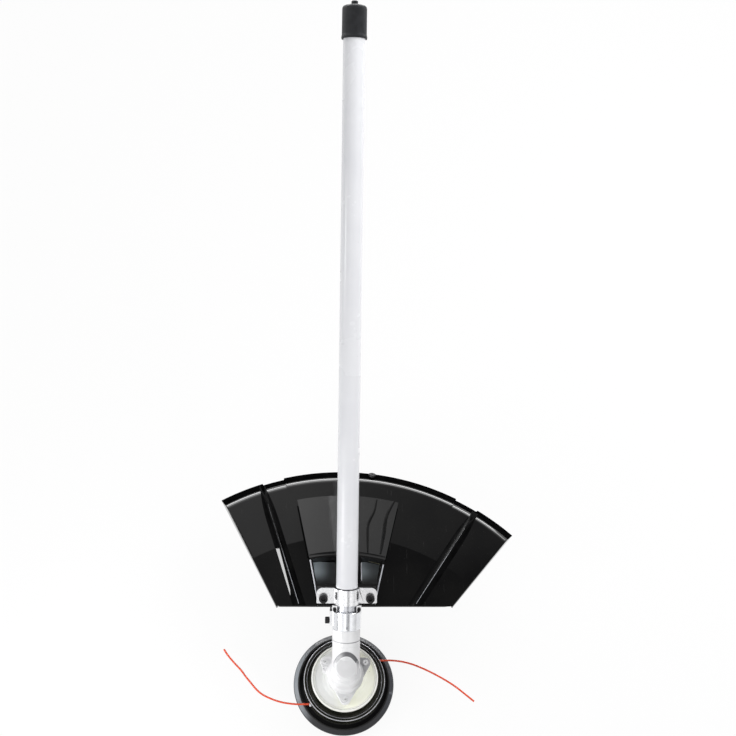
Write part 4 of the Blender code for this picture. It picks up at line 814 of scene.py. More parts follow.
def build_head():
    """Upper housing with bright metal beads on its rim as painted highlights, lower cover, eyelets and knob.
    """
    housing = make_piece("head_housing_shell", lathe([
        (56.0, 25.0, 0.2), (56.0, 26.6, 0.6), (52.2, 27.5, 0.8), (51.0, 28.9, 1.0), (51.0, 46.8, 1.0),
        (50.4, 48.0, 0.6), (49.6, 48.4, 0.5), (47.9, 48.4, 1.0), (46.8, 45.8, 1.6), (22.0, 45.3, 2.0),
        (18.0, 50.0, 1.0), (5.2, 50.0, 0.5), (5.2, 42.5, 0.3), (44.6, 42.5, 1.0), (47.9, 39.6, 1.0),
        (47.9, 25.0, 0.3)], 0.5, 5, 192), "housing")
    carve(housing, "DIFFERENCE", [at_eyelet(disc(3.7, 36.0, 52.0, 40), side) for _, side in SIDES])
    repaint(housing, "flank", lambda face: face.center.xy.length > 51.3 * MM)
    join_frame(housing, "head_housing", body="trimmer_head")

    # Metal beads on the rim, bright where the black rim shows highlight lines: painted highlights
    for name, radius, height, thick in (("outer", 50.3, 48.1, 0.5), ("inner", 46.9, 47.0, 0.34)):
        bead = turned(circle(thick, 12, (radius, height)), 192)
        add_piece(f"head_rim_{name}", bead, "painted_highlight_metal", body="trimmer_head")
    for name, side in SIDES:
        ring = lathe([(1.6, 38.6), (3.4, 38.6), (3.4, 43.0), (2.8, 43.6), (2.2, 43.6), (1.6, 43.0)], 0.3,
                     around=48)
        add_piece(f"eyelet_ring_{name}", at_eyelet(ring, side), "zinc", f"eyelet_{name}", body="trimmer_head")

    cover = lathe([
        (28.6, 8.0, 0.5), (46.0, 8.0, 4.0), (58.8, 12.4, 4.0), (62.9, 16.6, 3.0), (63.7, 18.2, 2.0),
        (63.7, 20.6, 2.0), (62.8, 22.0, 2.0), (58.2, 25.4, 1.5), (56.3, 25.7, 0.3), (56.3, 24.7, 0.3),
        (48.2, 24.7, 0.3), (48.2, 14.6, 1.0), (45.4, 11.6, 0.8), (28.6, 11.6, 0.4)], 0.5, 6, 192)
    add_piece("head_cover_shell", cover, "slate", "head_cover", body="trimmer_head")
    knob = lathe([
        (0.0, 0.0), (18.0, 0.0, 3.0), (24.5, 2.2, 5.0), (27.4, 6.6, 3.0), (27.4, 13.8, 0.6),
        (14.7, 13.8, 0.5), (14.7, 19.6, 0.4), (0.0, 19.6)], 0.5, 5)
    add_piece("bump_knob_shell", knob, "nylon", "bump_knob", body="feed_knob")


def build_spring():
    """The spring under the knob."""
    low, high, radius, turns, per_turn = 20.9, 41.3, 12.0, 4, 32
    count = turns * per_turn
    route = [(radius * math.cos(math.tau * i / per_turn), radius * math.sin(math.tau * i / per_turn),
              low + (high - low) * i / count) for i in range(count + 1)]
    coil = wire("spring_wire", route, 1.6, 3)
    bpy.context.view_layer.update()
    mesh = bpy.data.meshes.new_from_object(coil)
    bpy.data.objects.remove(coil, do_unlink=True)
    mesh.materials.clear()
    mesh.materials.append(LOOKS["steel"])
    mesh.shade_smooth()
    spring = linked("spool_spring_coil", mesh)
    join_frame(spring, "spool_spring", body="trimmer_head")
    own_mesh(spring)


def build_wound_line():
    """The line wound on the spool, turn beside turn."""
    wound = lathe([(19.3, 16.7), (38.0, 16.7), (40.0, 18.7), (40.0, 32.3), (38.0, 34.3), (19.3, 34.3)], 0.4)
    add_piece("wound_line_turns", wound, "line", "wound_line", body="line_spool")


# Guard

FAN_CENTRE = (-4.0, -66.4)
SPLAY = 19.5
FAN_LEFT = -27.1
FAN_RIGHT = 40.3
FAN_FRONT = 73.0
PLATE_TOP = 128.0
PLATE_THICK = 3.0
CREASE_RADIUS = 228.0
BEND_RADIUS = 307.0
BEND_DROP = 2.5
SIDE_WALL = 2.3
SKIRT_RADIUS = 322.5
SKIRT_FOOT = 104.0
SKIRT_WALL = 2.4
SKIRT_RECESS = 2.2
RECESSES = ((-17.5, -12.8), (25.8, 31.0))
RIB_LINES = (((-57.5, 74.6), (-106.5, 228.6)), ((84.6, 74.6), (164.8, 194.4)))
RIB_OVERHANG = 8.5
RIB_MOUTH = 27.0
RIB_WALL = 1.3
RIB_RISE = 1.1
RIDGE_RADIUS = 203.4
RIDGE_TOP = 147.0
PANEL_END_RADIUS = 282.0
PANEL_LEFT = -11.0
PANEL_RIGHT = 13.6
CHEEK = 2.0
CLAMP_FOOT = 84.8
CLAMP_LENGTH = 19.0
CLAMP_END = CLAMP_FOOT + CLAMP_LENGTH
EAR_REACH = 36.5
EAR_ROOT = 20.5
EAR_CORNERS = (1.5, 7.0)
EAR_TOP = 1.0
EAR_THICK = 4.0
BOX_HALF = EAR_REACH - 1.0
BOX_FOOT = PLATE_TOP - 1.5
BOLT_SIDE = 28.3
BOLT_STATION = 91.3
BOLT_HOLE = 3.3
SEAT_DEPTH = EAR_THICK - EAR_TOP + GAP
CUTTER_ANGLE = 7.0
CUTTER_ALONG = 11.0
# Routes of dark swellings on the raised panel, put where it shows dark streaks of reflection: painted
# reflections
PANEL_STREAKS = (
    (1.7, ((39.3, 210.6), (35.7, 194.4), (30.2, 182.4), (27.1, 172.4), (26.4, 151.5), (26.0, 133.7))),
    (2.3, ((61.5, 208.3), (52.4, 190.3), (48.7, 175.6), (47.0, 163.0), (44.0, 146.3), (41.6, 133.9))))


def fan_ray(reach, angle):
    """A place on the guard: so far along the ray at an angle from the point where its rays meet."""
    turn = math.radians(angle)
    return (FAN_CENTRE[0] + reach * math.sin(turn), FAN_CENTRE[1] - SPLAY + reach * math.cos(turn))


def fan_point(radius, angle):
    """Where the ray at an angle, in degrees from +Y towards +X, meets a circle about the fan centre."""
    turn = math.radians(angle)
    across = SPLAY * math.sin(turn)
    return fan_ray(SPLAY * math.cos(turn) + math.sqrt(radius ** 2 - across ** 2), angle)


def fan_arc(radius, start, end, count):
    """Points on a circle about the fan centre, between two angles."""
    return [fan_point(radius, angle) for angle in spread(start, end, count)]


def fan_reach(spot):
    """How far a place is from the fan centre."""
    return (Vector(spot[:2]) - Vector(FAN_CENTRE)).length


def plate_height(radius):
    """Top of the guard's plate: level inside the crease, falling gently outside it."""
    share = max(0.0, (radius - CREASE_RADIUS) / (BEND_RADIUS - CREASE_RADIUS))
    return PLATE_TOP - BEND_DROP * share


def guard_section(angle, recessed=False, flanged=False, inset=0.0, drop=0.0):
    """One radial section of the guard's shell as 3-D points, moved sideways and its top down."""
    steps = 7
    front = fan_reach(fan_ray((FAN_FRONT - FAN_CENTRE[1] + SPLAY) / math.cos(math.radians(angle)), angle))
    foot = SKIRT_RADIUS - (SKIRT_RECESS if recessed else 0.0)
    bend = BEND_RADIUS - 1.4 - (0.4 * SKIRT_RECESS if recessed else 0.0)
    edge = plate_height(bend)
    creases = [(CREASE_RADIUS + off, plate_height(CREASE_RADIUS + off), 0.0)
               for off in (-40.0, -1.0, 0.0, 1.0, 40.0)]
    top = [(front, PLATE_TOP, 1.1), *creases, (bend, edge, 11.0), (foot, SKIRT_FOOT, 0.6)]
    near, back = (8.0, 20.0) if flanged else (PLATE_THICK, PLATE_THICK)
    under = [(foot - SKIRT_WALL, SKIRT_FOOT, 0.6), (bend - 0.6 * SKIRT_WALL, edge - back, 4.0),
             (CREASE_RADIUS, PLATE_TOP - 0.5 * (near + back), 0.0), (front, PLATE_TOP - near, 0.5)]
    side = Vector((math.cos(math.radians(angle)), -math.sin(math.radians(angle))))
    # Three of the top's corners are eased, the creases are single points
    top_count = 3 * (steps + 1) + len(creases)
    section = []
    for index, (radius, height) in enumerate(eased(top + under, 0.5, steps)):
        x, y = fan_point(radius, angle)
        lowered = drop if index < top_count else 0.0
        section.append((x + inset * side.x, y + inset * side.y, height - lowered))
    return section


def guard_shell():
    """The fan-shaped plate with its flared skirt, side flanges and skirt recesses."""
    fillet = [(0.0, 1.3), (0.1, 0.75), (0.38, 0.35), (0.8, 0.1), (1.3, 0.0)]
    sections = [guard_section(FAN_LEFT, False, True, inset, drop) for inset, drop in fillet]
    sections += [guard_section(FAN_LEFT, False, flanged, SIDE_WALL) for flanged in (True, False)]
    angle = FAN_LEFT + 1.2
    while angle < FAN_RIGHT - 1.19:
        sections.append(guard_section(angle, any(start < angle < end for start, end in RECESSES)))
        following = angle + 0.9
        for edge in (value for pair in RECESSES for value in pair):
            if angle < edge - 0.06 < following:
                following = edge - 0.06
            elif angle < edge + 0.06 < following:
                following = edge + 0.06
        angle = following
    sections += [guard_section(FAN_RIGHT, False, flanged, -SIDE_WALL) for flanged in (False, True)]
    sections += [guard_section(FAN_RIGHT, False, True, -inset, drop) for inset, drop in reversed(fillet)]
    return loft(sections)


def rib_place(line, distance):
    """A place along a rib, the direction across it, and the plate's height there."""
    near, far = Vector(line[0]), Vector(line[1])
    along = (far - near).normalized()
    spot = near + distance * along
    return spot, Vector((along.y, -along.x)), plate_height(fan_reach(spot))


def rib_length(line):
    """How long a rib is."""
    return (Vector(line[1]) - Vector(line[0])).length


def rib_size(line, distance):
    """Half a rib's width. It is nearly the rib's height too, and grows outwards."""
    return 2.2 + 1.9 * distance / rib_length(line)


def rib_loop(line, distance, outline):
    """An outline of (side, rise above the plate) across a rib, as 3-D points."""
    spot, across, base = rib_place(line, distance)
    return [(spot.x + side * across.x, spot.y + side * across.y, base + rise) for side, rise in outline]


def rib_arch(line, shrink=0.0, start=0.0, overrun=0.0):
    """A pointed arch that widens along a rib. Its legs reach down to the skirt past the bend."""
    length = rib_length(line)
    power = 1.45
    loops = []
    for distance in spread(start, length - RIB_OVERHANG, 14) + [length + overrun]:
        size = rib_size(line, distance) - shrink
        foot = -0.8 if shrink else -1.5
        if distance >= length and not shrink:
            foot = SKIRT_FOOT + 10.3 - rib_place(line, distance)[2]
        outline = [(-size, foot)]
        for turn in spread(0.0, math.pi, 24):
            outline.append((-size * math.copysign(abs(math.cos(turn)) ** power, math.cos(turn)),
                            RIB_RISE * size * math.sin(turn) ** power))
        loops.append(rib_loop(line, distance, outline + [(size, foot)]))
    return loft(loops)


def rib_mouth(line):
    """The slanting cut that opens a rib's outer end like a leaf."""
    near, far = rib_length(line) - RIB_MOUTH, rib_length(line) + 3.0
    places = ((near, 5.0), (far, 0.2), (far, 12.0), (near, 12.0))
    return loft([[rib_loop(line, distance, [(side, rise)])[0] for distance, rise in places]
                 for side in (-5.5, 5.5)])


def rib_offset(line, spot):
    """How far a place lies beside a rib's middle."""
    near, across, _ = rib_place(line, 0.0)
    return abs((spot.xy - near).dot(across))


def rib_flanks(line):
    """Hollow fillets on both sides of a rib, that fade out at its leaf-shaped end."""
    length = rib_length(line)
    loops = []
    for distance in spread(-5.0, length - RIB_OVERHANG, 24):
        wide = 7.6 - 3.4 * max(0.0, (distance - length + 48.0) / 40.0) ** 2
        sides = [wide * (j / 10 - 1.0) for j in range(21)]
        hollow = [(side, 0.06 + 1.7 * (1.0 - abs(side) / wide) ** 2) for side in sides]
        loop = rib_loop(line, distance, [(-wide, -0.6), *hollow, (wide, -0.6)])
        loops.append([(x, max(FAN_FRONT + 0.9, y), height) for x, y, height in loop])
    return loft(loops)


def rib_gusset(line):
    """The straight facet on the left rib's outer flank, that catches a light."""
    tilt = math.tan(math.radians(33.0))
    outer, root = 6.8, 0.6
    loops = []
    for distance, inner in ((15.0, 6.5), (21.7, 5.0), (48.0, 3.9), (74.7, 2.8), (76.5, 6.4)):
        loops.append(rib_loop(line, distance, [
            (-outer - 0.1, -0.5), (-outer, 0.2), (-inner, 0.2 + (outer - inner) * tilt),
            (-root, RIB_RISE * rib_size(line, distance) - 0.2), (-root, -0.5)]))
    return loft(loops)


def rib_crest(line):
    """The thin crest bar along the top of a rib, in a lighter finish that is a painted highlight."""
    points = []
    for distance in spread(1.5, rib_length(line) - RIB_MOUTH, 24):
        points += rib_loop(line, distance, [(0.0, RIB_RISE * rib_size(line, distance) + 0.22)])
    return bar(points, 0.42, 0.8)


def bar(points, half, deep):
    """A thin upright bar with a rounded top, through points on its top."""
    arc = [(half * math.cos(math.pi * i / 8), half * math.sin(math.pi * i / 8) - half) for i in range(9)]
    outline = [(half, -deep), *arc, (-half, -deep)]
    return loft([[(x + side, y, top + rise) for side, rise in outline] for x, y, top in points])


def panel_wedge(drop=0.0, inset_angle=0.0, inset_radius=0.0):
    """The raised panel that falls from the ridge back to the plate."""
    left, right = PANEL_LEFT + inset_angle, PANEL_RIGHT - inset_angle
    near = fan_arc(RIDGE_RADIUS - 4.0 + inset_radius, left, right, 16)
    far = fan_arc(PANEL_END_RADIUS - inset_radius, left, right, 16)[::-1]
    foot = PLATE_TOP - (8.0 if drop else 1.5)
    far_top = plate_height(PANEL_END_RADIUS) + 1.0 - drop
    return loft([[(x, y, foot) for x, y in near] + [(x, y, foot - 2.0) for x, y in far],
                 [(x, y, RIDGE_TOP - drop) for x, y in near] + [(x, y, far_top) for x, y in far]])


def panel_height(radius):
    """Top of the raised panel between the ridge and its far end."""
    share = (radius - RIDGE_RADIUS + 4.0) / (PANEL_END_RADIUS - RIDGE_RADIUS + 4.0)
    return RIDGE_TOP + (plate_height(PANEL_END_RADIUS) + 1.0 - RIDGE_TOP) * share


def panel_streak(route, half):
    """A shallow swelling along the raised panel that reads as a dark streak, a painted reflection."""
    route = [spot.xy for spot in smooth_route([(x, y, 0.0) for x, y in route], 2.0)]
    loops = []
    for index, spot in enumerate(route):
        ahead = route[min(index + 1, len(route) - 1)] - route[max(index - 1, 0)]
        across = Vector((ahead.y, -ahead.x)).normalized()
        share = index / (len(route) - 1)
        wide = half * (0.35 + 0.65 * math.sin(math.pi * (0.12 + 0.8 * share)))
        loop = []
        for step in range(-4, 5):
            place = spot + across * (wide * step / 4)
            swell = 0.06 + 0.3 * (1.0 - (step / 4) ** 2)
            loop.append((place.x, place.y, panel_height(fan_reach(place)) + swell))
        foot = [(x, y, height - 0.6) for x, y, height in (loop[0], loop[-1])]
        loops.append([foot[0], *loop, foot[1]])
    return loft(loops)


def seat_block():
    """The wedge under the clamp: its top is parallel to the tube."""
    (near_y, near_z), (far_y, far_z) = [
        (station * math.sin(TUBE_LEAN) + SEAT_DEPTH * math.cos(TUBE_LEAN),
         CROSS_HEIGHT + station * math.cos(TUBE_LEAN) - SEAT_DEPTH * math.sin(TUBE_LEAN))
        for station in (CLAMP_FOOT - 1.0, CLAMP_END + 1.0)]
    profile = [(FAN_FRONT + 1.2, BOX_FOOT), (near_y, near_z), (far_y, far_z), (far_y + 3.0, BOX_FOOT)]
    return loft([[(side, y, z) for y, z in profile] for side in (-BOX_HALF, BOX_HALF)])


def box_rim():
    """Body between the clamp seat and the ridge, with its sloping pocket left for a cut."""
    arc = fan_arc(RIDGE_RADIUS, PANEL_RIGHT, PANEL_LEFT, 24)
    front = [(-BOX_HALF, 80.0), (BOX_HALF, 80.0)]
    return loft([[(x, y, BOX_FOOT) for x, y in front + arc],
                 [(x, y, 142.0) for x, y in front] + [(0.985 * x, y, RIDGE_TOP) for x, y in arc]])


def pocket_cut():
    """The open pocket between the clamp and the ridge, with a thin cheek left at each side."""
    rows = []
    for inset, near, back, height in ((1.6, 97.2, 8.5, PLATE_TOP + 2.5), (0.0, 96.2, 5.0, 156.0)):
        half = EAR_REACH - CHEEK - inset
        turn = math.degrees((CHEEK + inset) / RIDGE_RADIUS)
        arc = fan_arc(RIDGE_RADIUS - back, PANEL_RIGHT - turn, PANEL_LEFT + turn, 24)
        rows.append([(x, y, height) for x, y in [(-half - 2.4, near), (half + 3.0, near)] + arc])
    return loft(rows)


def pocket_floor(outer, inner, rise_outer, rise_inner):
    """The cupped floor of one half of the pocket: higher beside its cheek or its rib."""
    bm = bmesh.new()
    columns, rows, near, far = 28, 20, 98.5, 127.0
    grid = []
    for i in range(columns + 1):
        share = i / columns
        line = []
        for j in range(rows + 1):
            along = j / rows
            y = near + (far - near) * along
            edge = outer * (1.0 + 0.0046 * (y - near))
            height = PLATE_TOP + 3.7 + rise_outer * (1.0 - share) ** 2 + rise_inner * share ** 3
            height += 1.2 * along ** 3 - (1.0 - min(1.0, along / 0.25)) ** 2
            line.append(bm.verts.new(((edge + (inner - edge) * share) * MM, y * MM, height * MM)))
        grid.append(line)
    for first, second in zip(grid, grid[1:]):
        for j in range(rows):
            bm.faces.new((first[j], second[j], second[j + 1], first[j + 1]))
    bmesh.ops.recalc_face_normals(bm, faces=bm.faces)
    if sum(face.normal.z for face in bm.faces) < 0:
        bmesh.ops.reverse_faces(bm, faces=bm.faces)
    return bm


def cutter_frame_point(along, out):
    """A place on the skirt's inner face at the cutter: radius and height."""
    low = Vector((SKIRT_RADIUS - SKIRT_WALL, SKIRT_FOOT))
    high = Vector((BEND_RADIUS - 3.6, plate_height(BEND_RADIUS) - PLATE_THICK))
    direction = (low - high).normalized()
    spot = high + along * direction + out * Vector((-direction.y, direction.x))
    return (spot.x, spot.y)


def at_cutter(shape):
    """Bring a shape made at the middle of a skirt about the Z axis to the cutter's place."""
    moved(shape, turn=(-CUTTER_ANGLE, "Z"))
    return moved(shape, (*FAN_CENTRE, 0.0))


def on_skirt(shape, out):
    """Stand a shape made along Z on the skirt at the cutter, its Z pointing outwards."""
    radius, height = cutter_frame_point(CUTTER_ALONG, out)
    low, high = cutter_frame_point(20.0, 0.0), cutter_frame_point(0.0, 0.0)
    slope = math.degrees(math.atan2(low[0] - high[0], high[1] - low[1]))
    moved(shape, turn=(90.0 - slope, "X"))
    return at_cutter(moved(shape, (0.0, radius, height), (180.0, "Z")))


def cutter_hole():
    """The hole through skirt and blade for the cutter's screw."""
    return on_skirt(disc(2.8, -8.0, 12.0, 32), 0.0)


def build_guard():
    """The moulded guard, seated under the tube."""
    guard = make_piece("guard_moulding", guard_shell(), "guard")
    carve(guard, "UNION", [box_rim(), panel_wedge(), seat_block()])
    carve(guard, "DIFFERENCE", [panel_wedge(3.0, 0.9, 8.0), pocket_cut()])
    carve(guard, "UNION", [rib_arch(line) for line in RIB_LINES])
    carve(guard, "UNION", [on_skirt(disc(6.6, 0.0, SKIRT_WALL + 1.6, 48), 0.4)])
    cuts = [rib_arch(line, RIB_WALL, 60.0, 3.0) for line in RIB_LINES]
    cuts += [rib_mouth(line) for line in RIB_LINES]
    # The block keeps the right front corner of the plate's edge straight
    cuts += [cutter_hole(), block((112.0, 60.0, 90.0), (142.0, FAN_FRONT, 140.0)),
             on_tube(disc(TUBE_RADIUS + GAP, 60.0, 160.0)),
             on_tube(disc(COLLAR_RADIUS + 1.0, 50.0, NECK_END + 0.6))]
    for side in (-BOLT_SIDE, BOLT_SIDE):
        cuts += [across_tube(disc(BOLT_HOLE, -40.0, 10.0, 32), BOLT_STATION, side),
                 across_tube(prism(circle(6.2, 6), -40.0, -13.6), BOLT_STATION, side)]
    carve(guard, "DIFFERENCE", cuts)

    def on_outside(face):
        return fan_reach(face.center / MM) > BEND_RADIUS + 0.9

    def on_rib(face):
        spot = face.center / MM
        return (not on_outside(face) and spot.z > plate_height(fan_reach(spot)) + 0.15
                and min(rib_offset(line, spot) for line in RIB_LINES) < 4.6)

    repaint(guard, "skirt", on_outside)
    repaint(guard, "flank", on_rib)
    join_frame(soften(guard, 0.35), "guard")


def build_guard_trim():
    """Bars of bright metal on the cheeks' edges and on the rib beside the tube and an olive lip, all painted
    highlights, the pocket's cupped floors with a painted reflection, and the small forms on the ribs and the
    raised panel."""
    # Bright metal bars on the cheeks' edges and beside the tube: painted highlights
    for name, points, half, deep in (
            ("cheek_left", [(-35.6, 80.2, 143.2), (-44.5, 126.0, 147.6)], 0.85, 2.0),
            ("cheek_right", [(35.6, 80.2, 143.2), (45.0, 120.0, 147.6)], 0.85, 2.0),
            ("tube_rib", [(18.5, 102.6, 137.6), (18.5, 125.0, 138.0)], 0.6, 8.0)):
        add_piece(f"guard_{name}", bar(points, half, deep), "painted_highlight_metal", slot="bright_aluminium")
    gusset = make_piece("guard_rib_gusset", rib_gusset(RIB_LINES[0]), "flank", sharp=6.0)
    repaint(gusset, "guard", lambda face: 0.79 < face.normal.z < 0.88 and face.normal.x < -0.3)
    join_frame(gusset)
    # Dark swellings on the raised panel: painted reflections
    for number, (half, route) in enumerate(PANEL_STREAKS, start=1):
        add_piece(f"guard_panel_streak_{number}", panel_streak(route, half), "flank")
    for name, angle, half in (("left", PANEL_LEFT - 0.12, 1.5), ("right", PANEL_RIGHT + 0.12, 0.6)):
        edge = [(*fan_point(radius, angle), plate_height(radius) + 0.7)
                for radius in spread(RIDGE_RADIUS, PANEL_END_RADIUS - 8.0, 12)]
        add_piece(f"guard_panel_edge_{name}", bar(edge, half, 1.2), "flank")
    # A dark bar beside the collar's left lug: painted shade
    clip = smooth_route([(-18.9, 71.0, 139.0), (-18.9, 63.5, 139.0), (-17.6, 60.4, 138.4),
                         (-14.4, 58.6, 138.0)], 1.0)
    add_piece("guard_shade_bar", bar(clip, 0.95, 2.0), "nylon", slot="gloss_black_plastic")
    for number, line in enumerate(RIB_LINES, start=1):
        add_piece(f"guard_rib_flanks_{number}", rib_flanks(line), "flank")
        add_piece(f"guard_rib_crest_{number}", rib_crest(line), "crest")
    # The lip: an olive bar on the black guard, a painted highlight
    lip = [(*fan_point(196.4 - 0.10 * i, 5.9 + 6.4 * i / 12), 138.3 - 0.05 * i) for i in range(13)]
    add_piece("guard_pocket_lip", bar(lip, 0.42, 1.0), "painted_lip_highlight")
    # The pocket's cupped floors, with a painted reflection in their tones
    for name, *shape in (("left", -36.5, -14.0, 3.4, 0.0), ("right", 36.8, 18.5, 1.0, 2.2)):
        add_piece(f"guard_pocket_floor_{name}", pocket_floor(*shape), f"painted_sheen_{name}")


def build_guard_clamp():
    """The bright clamp over the tube, its two bolts and their nuts."""
    ears = []
    near, far = EAR_CORNERS
    for side in (-1, 1):
        outline = []
        for corner, centre, start in ((near, CLAMP_FOOT + near, -90.0), (far, CLAMP_END - far, 0.0)):
            for turn in map(math.radians, spread(start, start + 90.0, 14)):
                outline.append((side * (EAR_REACH - corner + corner * math.cos(turn)),
                                centre + corner * math.sin(turn)))
        outline += [(side * EAR_ROOT, CLAMP_END), (side * EAR_ROOT, CLAMP_FOOT)]
        ears.append(on_tube(loft([[(x, -height, station) for x, station in outline]
                                  for height in (EAR_TOP - EAR_THICK, EAR_TOP)])))
        inside, outside = sorted((side * 8.0, side * EAR_ROOT))
        ears.append(on_tube(block((inside, -EAR_TOP, CLAMP_FOOT), (outside, EAR_THICK - EAR_TOP, CLAMP_END))))
    clamp = make_piece("guard_clamp_casting", on_tube(disc(15.3, CLAMP_FOOT, CLAMP_END, 128)), "aluminium")
    carve(clamp, "DIFFERENCE", [on_tube(block((-30.0, EAR_THICK - EAR_TOP, 70.0), (30.0, 30.0, 120.0)))])
    carve(clamp, "UNION", ears)
    holes = [across_tube(disc(BOLT_HOLE, -10.0, 10.0, 40), BOLT_STATION, side)
             for side in (-BOLT_SIDE, BOLT_SIDE)]
    carve(clamp, "DIFFERENCE", [on_tube(disc(TUBE_RADIUS + GAP, 60.0, 130.0, 128))] + holes)
    join_frame(soften(clamp, 0.5, 3), "guard_clamp")
    for name, side in SIDES:
        bolt = across_tube(socket_screw(5.4, 5.6, 3.0, 20.6, 2.9, 0.12), BOLT_STATION, side * BOLT_SIDE,
                           EAR_TOP + GAP)
        add_piece(f"bolt_clamp_{name}", bolt, "black_steel", f"clamp_bolt_{name}")
        nut = across_tube(hexagon_nut(5.7, 3.3, -18.8, -14.0), BOLT_STATION, side * BOLT_SIDE)
        add_piece(f"nut_clamp_{name}", nut, "zinc", f"clamp_nut_{name}")


def build_line_cutter():
    """The blade that trims the line to length, and the screw and nut that hold it on the skirt."""
    setback = 0.9
    thick = 1.4
    slope = [cutter_frame_point(along, -setback) for along in (4.0, 19.0)]
    inner = [cutter_frame_point(along, -setback - thick) for along in (4.0, 18.5)]
    edge = 86.0
    front = slope[1][0]
    back = front - thick
    profile = [*slope, (front, edge), (back, edge + 2.0), (back, inner[1][1]), inner[1], inner[0]]
    blade = at_cutter(loft([[(side, y, z) for y, z in profile] for side in (-13.0, 13.0)]))
    cutter = make_piece("line_cutter_blade", blade, "zinc")
    carve(cutter, "DIFFERENCE", [cutter_hole()])
    join_frame(soften(cutter, 0.2), "line_cutter")
    screw = on_skirt(socket_screw(4.6, 3.0, 2.5, 13.0, 1.9), SKIRT_WALL + 2.0 + GAP)
    add_piece("screw_cutter", screw, "black_steel", "cutter_screw")
    nut = on_skirt(hexagon_nut(4.6, 2.8, -3.8, 0.0), -setback - thick - GAP)
    add_piece("nut_cutter", nut, "zinc", "cutter_nut")


# CAD nodes that stay

KEPT = {
    "steel": ("drive_shaft", "pinion_gear", "pinion_bearing_front", "pinion_bearing_rear",
              "output_bearing_lower", "output_bearing_upper", "output_spindle", "bevel_gear"),
    "dark_steel": ("pinion_circlip", "output_circlip", "gear_washer"),
    "rubber": ("tube_bush_1", "tube_bush_2", "tube_bush_3", "tube_bush_4", "output_seal"),
    "zinc": ("adapter_plate", "arbor_nut"),
    "nylon": ("spool",),
}


def dress_cad():
    """Give the CAD nodes that stay their finishes."""
    for look, names in KEPT.items():
        for name in names:
            slots = frame["nodes"][name].data.materials
            slots.clear()
            slots.append(LOOKS[look])


# Stage

def empty_tree(owner):
    """The cleared node tree of a material or the world."""
    owner.use_nodes = True
    owner.node_tree.nodes.clear()
    return owner.node_tree


def build_stage():
    """A plain white floor that keeps the shadow."""
    reach = 8.0
    level = -0.0004
    mesh = bpy.data.meshes.new("studio_floor")
    corners = [(x * reach, y * reach, level) for x, y in ((-1, -1), (1, -1), (1, 1), (-1, 1))]
    mesh.from_pydata(corners, [], [(0, 1, 2, 3)])
    material = bpy.data.materials.new("studio_floor")
    mesh.materials.append(material)
    tree = empty_tree(material)
    path = node(tree, "ShaderNodeLightPath").outputs
    paper = node(tree, "ShaderNodeBsdfDiffuse", {"Color": (0.9, 0.9, 0.9, 1.0)})
    glow = node(tree, "ShaderNodeEmission", {"Color": (1.0, 1.0, 1.0, 1.0), "Strength": 1.0})
    seen = maths(tree, "ADD", path["Is Camera Ray"], path["Is Glossy Ray"])
    share = maths(tree, "MULTIPLY", seen, 0.9)
    both = node(tree, "ShaderNodeMixShader", {0: share, 1: paper.outputs[0], 2: glow.outputs[0]})
    node(tree, "ShaderNodeOutputMaterial", {"Surface": both.outputs[0]})
    linked("studio_floor", mesh)


def ramp(tree, value, stops):
    """A grey ramp over a value from -1 to 1."""
    share = ranged(tree, value, -1.0, 1.0, smooth=False)
    made = node(tree, "ShaderNodeValToRGB", {"Fac": share})
    elements = made.color_ramp.elements
    elements.remove(elements[-1])
    for index, (place, level) in enumerate(stops):
        position = (place + 1.0) / 2.0
        element = elements[0] if index == 0 else elements.new(position)
        element.position = position
        element.color = (level / 2.5, level / 2.5, level / 2.5, 1.0)
    return made.outputs["Color"]


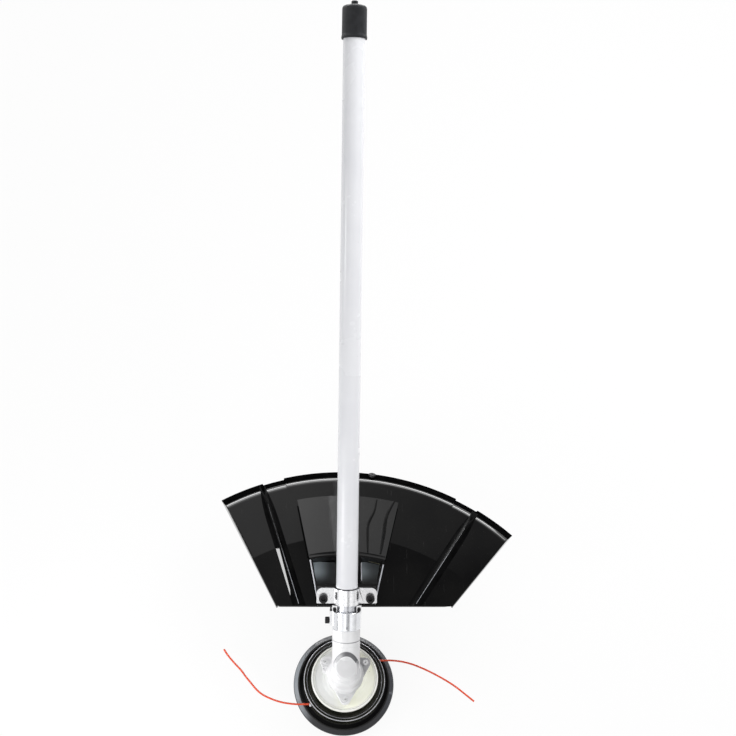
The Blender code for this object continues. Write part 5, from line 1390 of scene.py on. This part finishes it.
def build_world():
    """A soft studio round the part: bright in front, dim straight above, brighter again behind."""
    world = bpy.data.worlds.new("studio")
    bpy.context.scene.world = world
    tree = empty_tree(world)
    where = node(tree, "ShaderNodeTexCoord").outputs["Generated"]
    axes = node(tree, "ShaderNodeSeparateXYZ", {"Vector": where}).outputs
    depth = ramp(tree, axes["Y"], (
        (-1.0, 0.9), (-0.72, 1.25), (-0.3, 0.9), (0.0, 0.6), (0.12, 0.21), (0.305, 0.19), (0.335, 0.60),
        (0.42, 0.72), (0.6, 1.5), (0.75, 1.9), (1.0, 1.0)))
    width = ramp(tree, axes["X"], (
        (-1.0, 0.65), (-0.75, 1.0), (-0.5, 0.8), (-0.3, 1.1), (-0.07, 1.1), (0.0, 0.96), (0.05, 0.58),
        (0.09, 0.48), (0.2, 0.32), (0.32, 0.5), (0.5, 1.1), (0.75, 0.9), (1.0, 0.7)))
    light = mixed(tree, 1.0, depth, width, "MULTIPLY")
    lit = node(tree, "ShaderNodeBackground", {"Color": light, "Strength": 6.25})
    white = node(tree, "ShaderNodeBackground", {"Color": (1.0, 1.0, 1.0, 1.0), "Strength": 1.0})
    seen = node(tree, "ShaderNodeLightPath").outputs["Is Camera Ray"]
    both = node(tree, "ShaderNodeMixShader", {0: seen, 1: lit.outputs[0], 2: white.outputs[0]})
    node(tree, "ShaderNodeOutputWorld", {"Surface": both.outputs[0]})


def softbox(name, direction, distance, size, power, target, diffuse=True, glossy=True):
    """An area lamp that faces the part."""
    data = bpy.data.lights.new(name, "AREA")
    data.shape = "RECTANGLE"
    data.size, data.size_y = size
    data.energy = power
    lamp = linked(name, data)
    aim = Vector(direction).normalized()
    lamp.location = Vector(target) + aim * distance
    lamp.rotation_euler = aim.to_track_quat("Z", "Y").to_euler()
    lamp.visible_diffuse = diffuse
    lamp.visible_glossy = glossy


def build_lamps():
    """A key from the right, a low light by the head, two strips behind that show in the guard's bend,
    and one that shows in the left rib's facet."""
    softbox("key_right", (0.72, 0.25, 0.65), 1.1, (0.8, 0.8), 6.6, (0.0, 0.42, 0.34), glossy=False)
    softbox("low_left", (-0.80, -0.25, 0.55), 0.5, (0.22, 0.22), 0.85, (0.0, 0.0, 0.08))
    softbox("strip_back", (0.0, 0.99, 0.14), 2.2, (3.4, 0.45), 72.0, (0.0, 0.15, 0.12), diffuse=False)
    softbox("band_back", (0.0, 0.885, 0.46), 2.2, (3.4, 0.95), 50.0, (0.0, 0.15, 0.12), diffuse=False)
    softbox("rib_light", (-0.892, -0.007, 0.451), 2.2, (0.36, 0.36), 5.7, (-0.078, 0.12, 0.129),
            diffuse=False)


make_camera()
for build in (build_lines, build_tube, build_cap, build_gearcase, build_gearcase_screws, build_dust_cover,
              build_head, build_wound_line, build_spring, build_guard, build_guard_trim, build_guard_clamp,
              build_line_cutter, dress_cad, build_stage, build_world, build_lamps):
    build()
bpy.context.scene.view_settings.view_transform = "Standard"
